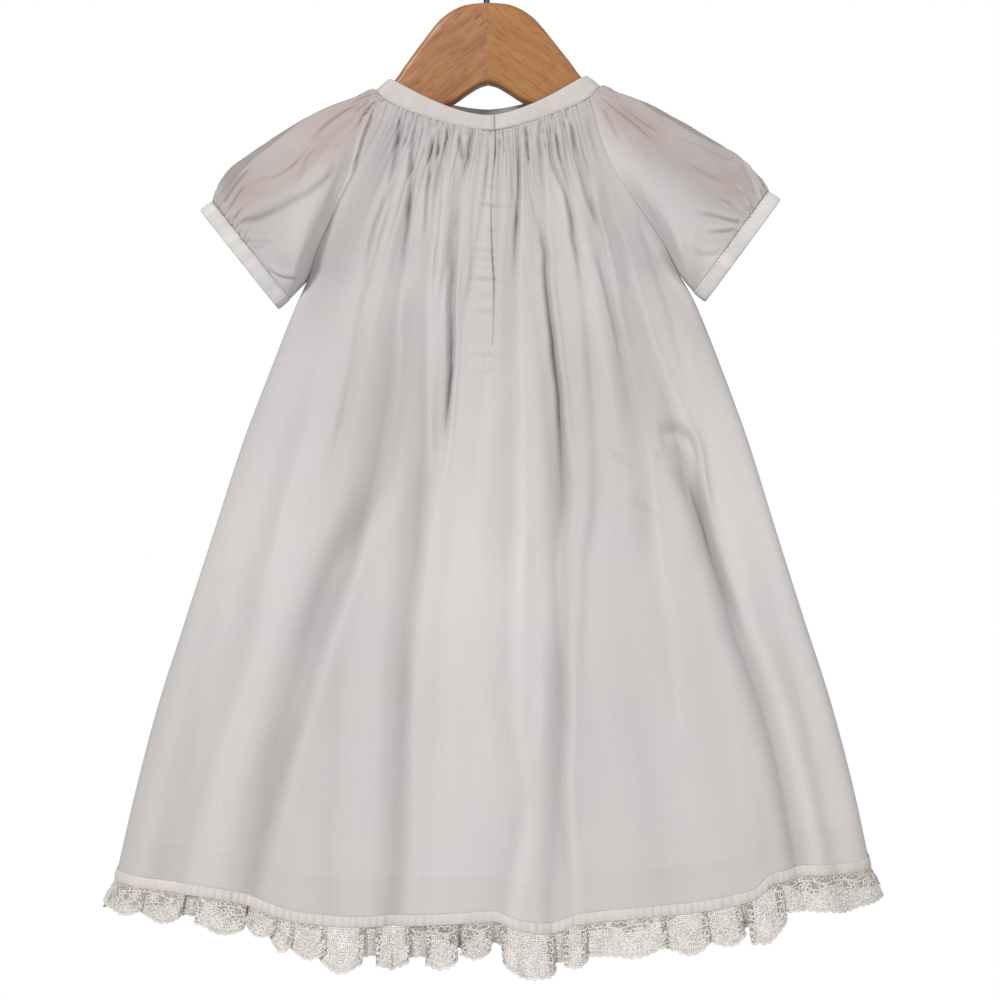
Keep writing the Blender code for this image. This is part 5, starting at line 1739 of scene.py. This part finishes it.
def make_placket():
    """Underlap behind the slit, sewn to its right edge."""
    panel = PANELS["back"]
    falls, widths = np.linspace(2, 118, 60), np.linspace(-8, 5, 14)
    half = curve(SIDE_EDGE, 1, side_drop_at(panel, falls)) * 1.16
    s, fall = widths[None, :] / half[:, None], falls[:, None]
    points = panel_base(panel, s, np.broadcast_to(fall, s.shape))
    points[..., 1] += 2.6 + 0.3 * drift(5, widths[None, :] / 4, fall / 9)
    points[..., 0] += curve(SLIT_COURSE, 1, drop_of(points))
    uv = flat_grid(widths - widths[0], falls)
    obj = sew("placket_underlap", [(points, uv, plain_tint(points, (0.93, 0.92, 0.92)))], band_cloth,
              ("placket_strip",), facing=(0, -1, 0), wall=UNDERLAP_WALL)


def lay_stitches(bm, path, normals, spacing, length, thick=0.15):
    """Lays short stitches of thread along a path."""
    at = path_length(path)
    centres = (np.arange(int(at[-1] / spacing)) + 0.5) * spacing
    points = read_at(centres, at, path)
    along = unit(read_at(centres + 0.4, at, path) - points)
    for p, t, n in zip(points, along, unit(read_at(centres, at, normals))):
        matrix = Matrix.Identity(4)
        for column, axis in enumerate((t * length / 2, np.cross(n, t) * thick, n * thick, p)):
            for row in range(3):
                matrix[row][column] = axis[row] * MM
        bmesh.ops.create_icosphere(bm, subdivisions=1, radius=1, matrix=matrix)


def on_left_lap(flat):
    """Points on the left lap of the back and their normals, for flat positions (x, drop)."""
    s, fall = np.meshgrid(np.linspace(-0.14, 0.14, 161), np.linspace(8, 150, 420))
    lap = slit_sides(panel_points(PANELS["back"], COURSES["back"], s, fall))[0]
    normals = grid_normals(lap)
    normals = normals * -np.sign(normals[..., 1:2])
    lap, normals = lap.reshape(-1, 3), normals.reshape(-1, 3)
    nearest = [int(np.argmin((lap[:, 0] - x) ** 2 + (drop_of(lap) - drop) ** 2))
               for x, drop in flat]
    return lap[nearest], normals[nearest]


# Hand stitches on the left lap: the courses as (x, drop), spacing and length.
LAP_STITCHES = (
    (((-1.4, 29), (-0.6, 34), (0.4, 43)), 2.3, 1.7),
    (((-4.9, 152), (-4.7, 161.5), (-1.7, 161.8), (-1.5, 152.2), (-4.9, 152)), 1.3, 1),
)


def make_stitches():
    """Stitches on the left lap, along the neckband's lower edge and at both cuffs."""
    bm = bmesh.new()
    for course, spacing, length in LAP_STITCHES:
        flat = np.concatenate([np.linspace(start, end, 9)[:-1] for start, end in zip(course, course[1:])])
        path, normal = on_left_lap(flat)
        lay_stitches(bm, path + normal * 0.12, normal, spacing, length, 0.17)
    top, low = band_ring(even_angles(400))
    width = low - top
    normal = turned(unit(np.cross(width, np.gradient(top, axis=0))), low * (1, 1, 0))
    lay_stitches(bm, (top + width * 0.90 + normal * 0.62)[6:-6], normal[6:-6], 2.6, 1.5)
    for side in (-1, 1):
        ring, outward, out = cuff_frame(side, 120)
        lay_stitches(bm, ring + outward + out * 0.75, out, 2.4, 1.4)
    finish_object("seam_stitches", bm, sewing_thread)


# ------------------------------------------------------------ building the dress

for kind in PANELS:
    make_panel(kind)
    make_hem_band(kind)
    make_lace(kind)
make_neckband()
make_placket()
for side in (-1, 1):
    make_sleeve(side)
    make_cuff(side)
make_stitches()
make_hanger()
make_hook()

# ------------------------------------------------------------ studio


LIGHTS = (
    # name, place, aim, size, power, colour
    ("key_light", (-1.6, -2.4, 1.3), (0, 0, -0.33), 0.7, 68, (1, 0.99, 0.98)),
    ("fill_light", (1.8, -1.9, 0.2), (0, 0, -0.35), 1.4, 17, (1, 0.995, 0.99)),
)
WORLD_LIGHT = 0.42
FLOOR_HEIGHT = -0.95
FLOOR_RADIUS = 0.55
CAMERA_DISTANCE = 1.2
FRAME_WIDTH = 0.56
FILM = 36
CAMERA_TURN = 1


def area_light(name, location, aim, size, power, colour):
    lamp = bpy.data.lights.new(name, "AREA")
    lamp.shape = "DISK"
    lamp.size = size
    lamp.energy = power
    lamp.color = colour
    obj = link(name, lamp)
    obj.location = location
    obj.rotation_euler = (Vector(aim) - Vector(location)).to_track_quat("-Z", "Y").to_euler()


def make_studio():
    """Lights, a white background that lights the dress less than it shows, and a floor below."""
    scene = bpy.context.scene
    scene.view_settings.view_transform = "Standard"
    world = bpy.data.worlds.new("studio")
    world.use_nodes = True
    tree = world.node_tree
    tree.nodes.clear()
    path, strength, back, out = [tree.nodes.new("ShaderNode" + kind)
                                 for kind in ("LightPath", "Mix", "Background", "OutputWorld")]
    strength.inputs[2].default_value = WORLD_LIGHT
    strength.inputs[3].default_value = 1
    back.inputs["Color"].default_value = (1, 1, 1, 1)
    tree.links.new(path.outputs["Is Camera Ray"], strength.inputs[0])
    tree.links.new(strength.outputs[0], back.inputs["Strength"])
    tree.links.new(back.outputs[0], out.inputs["Surface"])
    scene.world = world
    for light in LIGHTS:
        area_light(*light)
    bm = bmesh.new()
    bmesh.ops.create_circle(bm, cap_ends=True, segments=96, radius=FLOOR_RADIUS,
                            matrix=Matrix.Translation((0, 0, FLOOR_HEIGHT)))
    floor = link("studio_floor", mesh_from(bm, "studio_floor"))
    paint = Finish("floor_paint")
    face = paint.node("BsdfPrincipled", Base_Color=(0.86, 0.86, 0.86), Roughness=0.7)
    floor.data.materials.append(paint.done(face))


def make_camera():
    camera = bpy.data.cameras.new("camera")
    camera.sensor_width = FILM
    camera.lens = FILM * CAMERA_DISTANCE / FRAME_WIDTH
    camera.clip_end = 50
    obj = link("camera", camera)
    obj.location = (0.0026, -CAMERA_DISTANCE, -0.338)
    obj.rotation_euler = (math.radians(90), math.radians(CAMERA_TURN), 0)
    bpy.context.scene.camera = obj


make_studio()
make_camera()
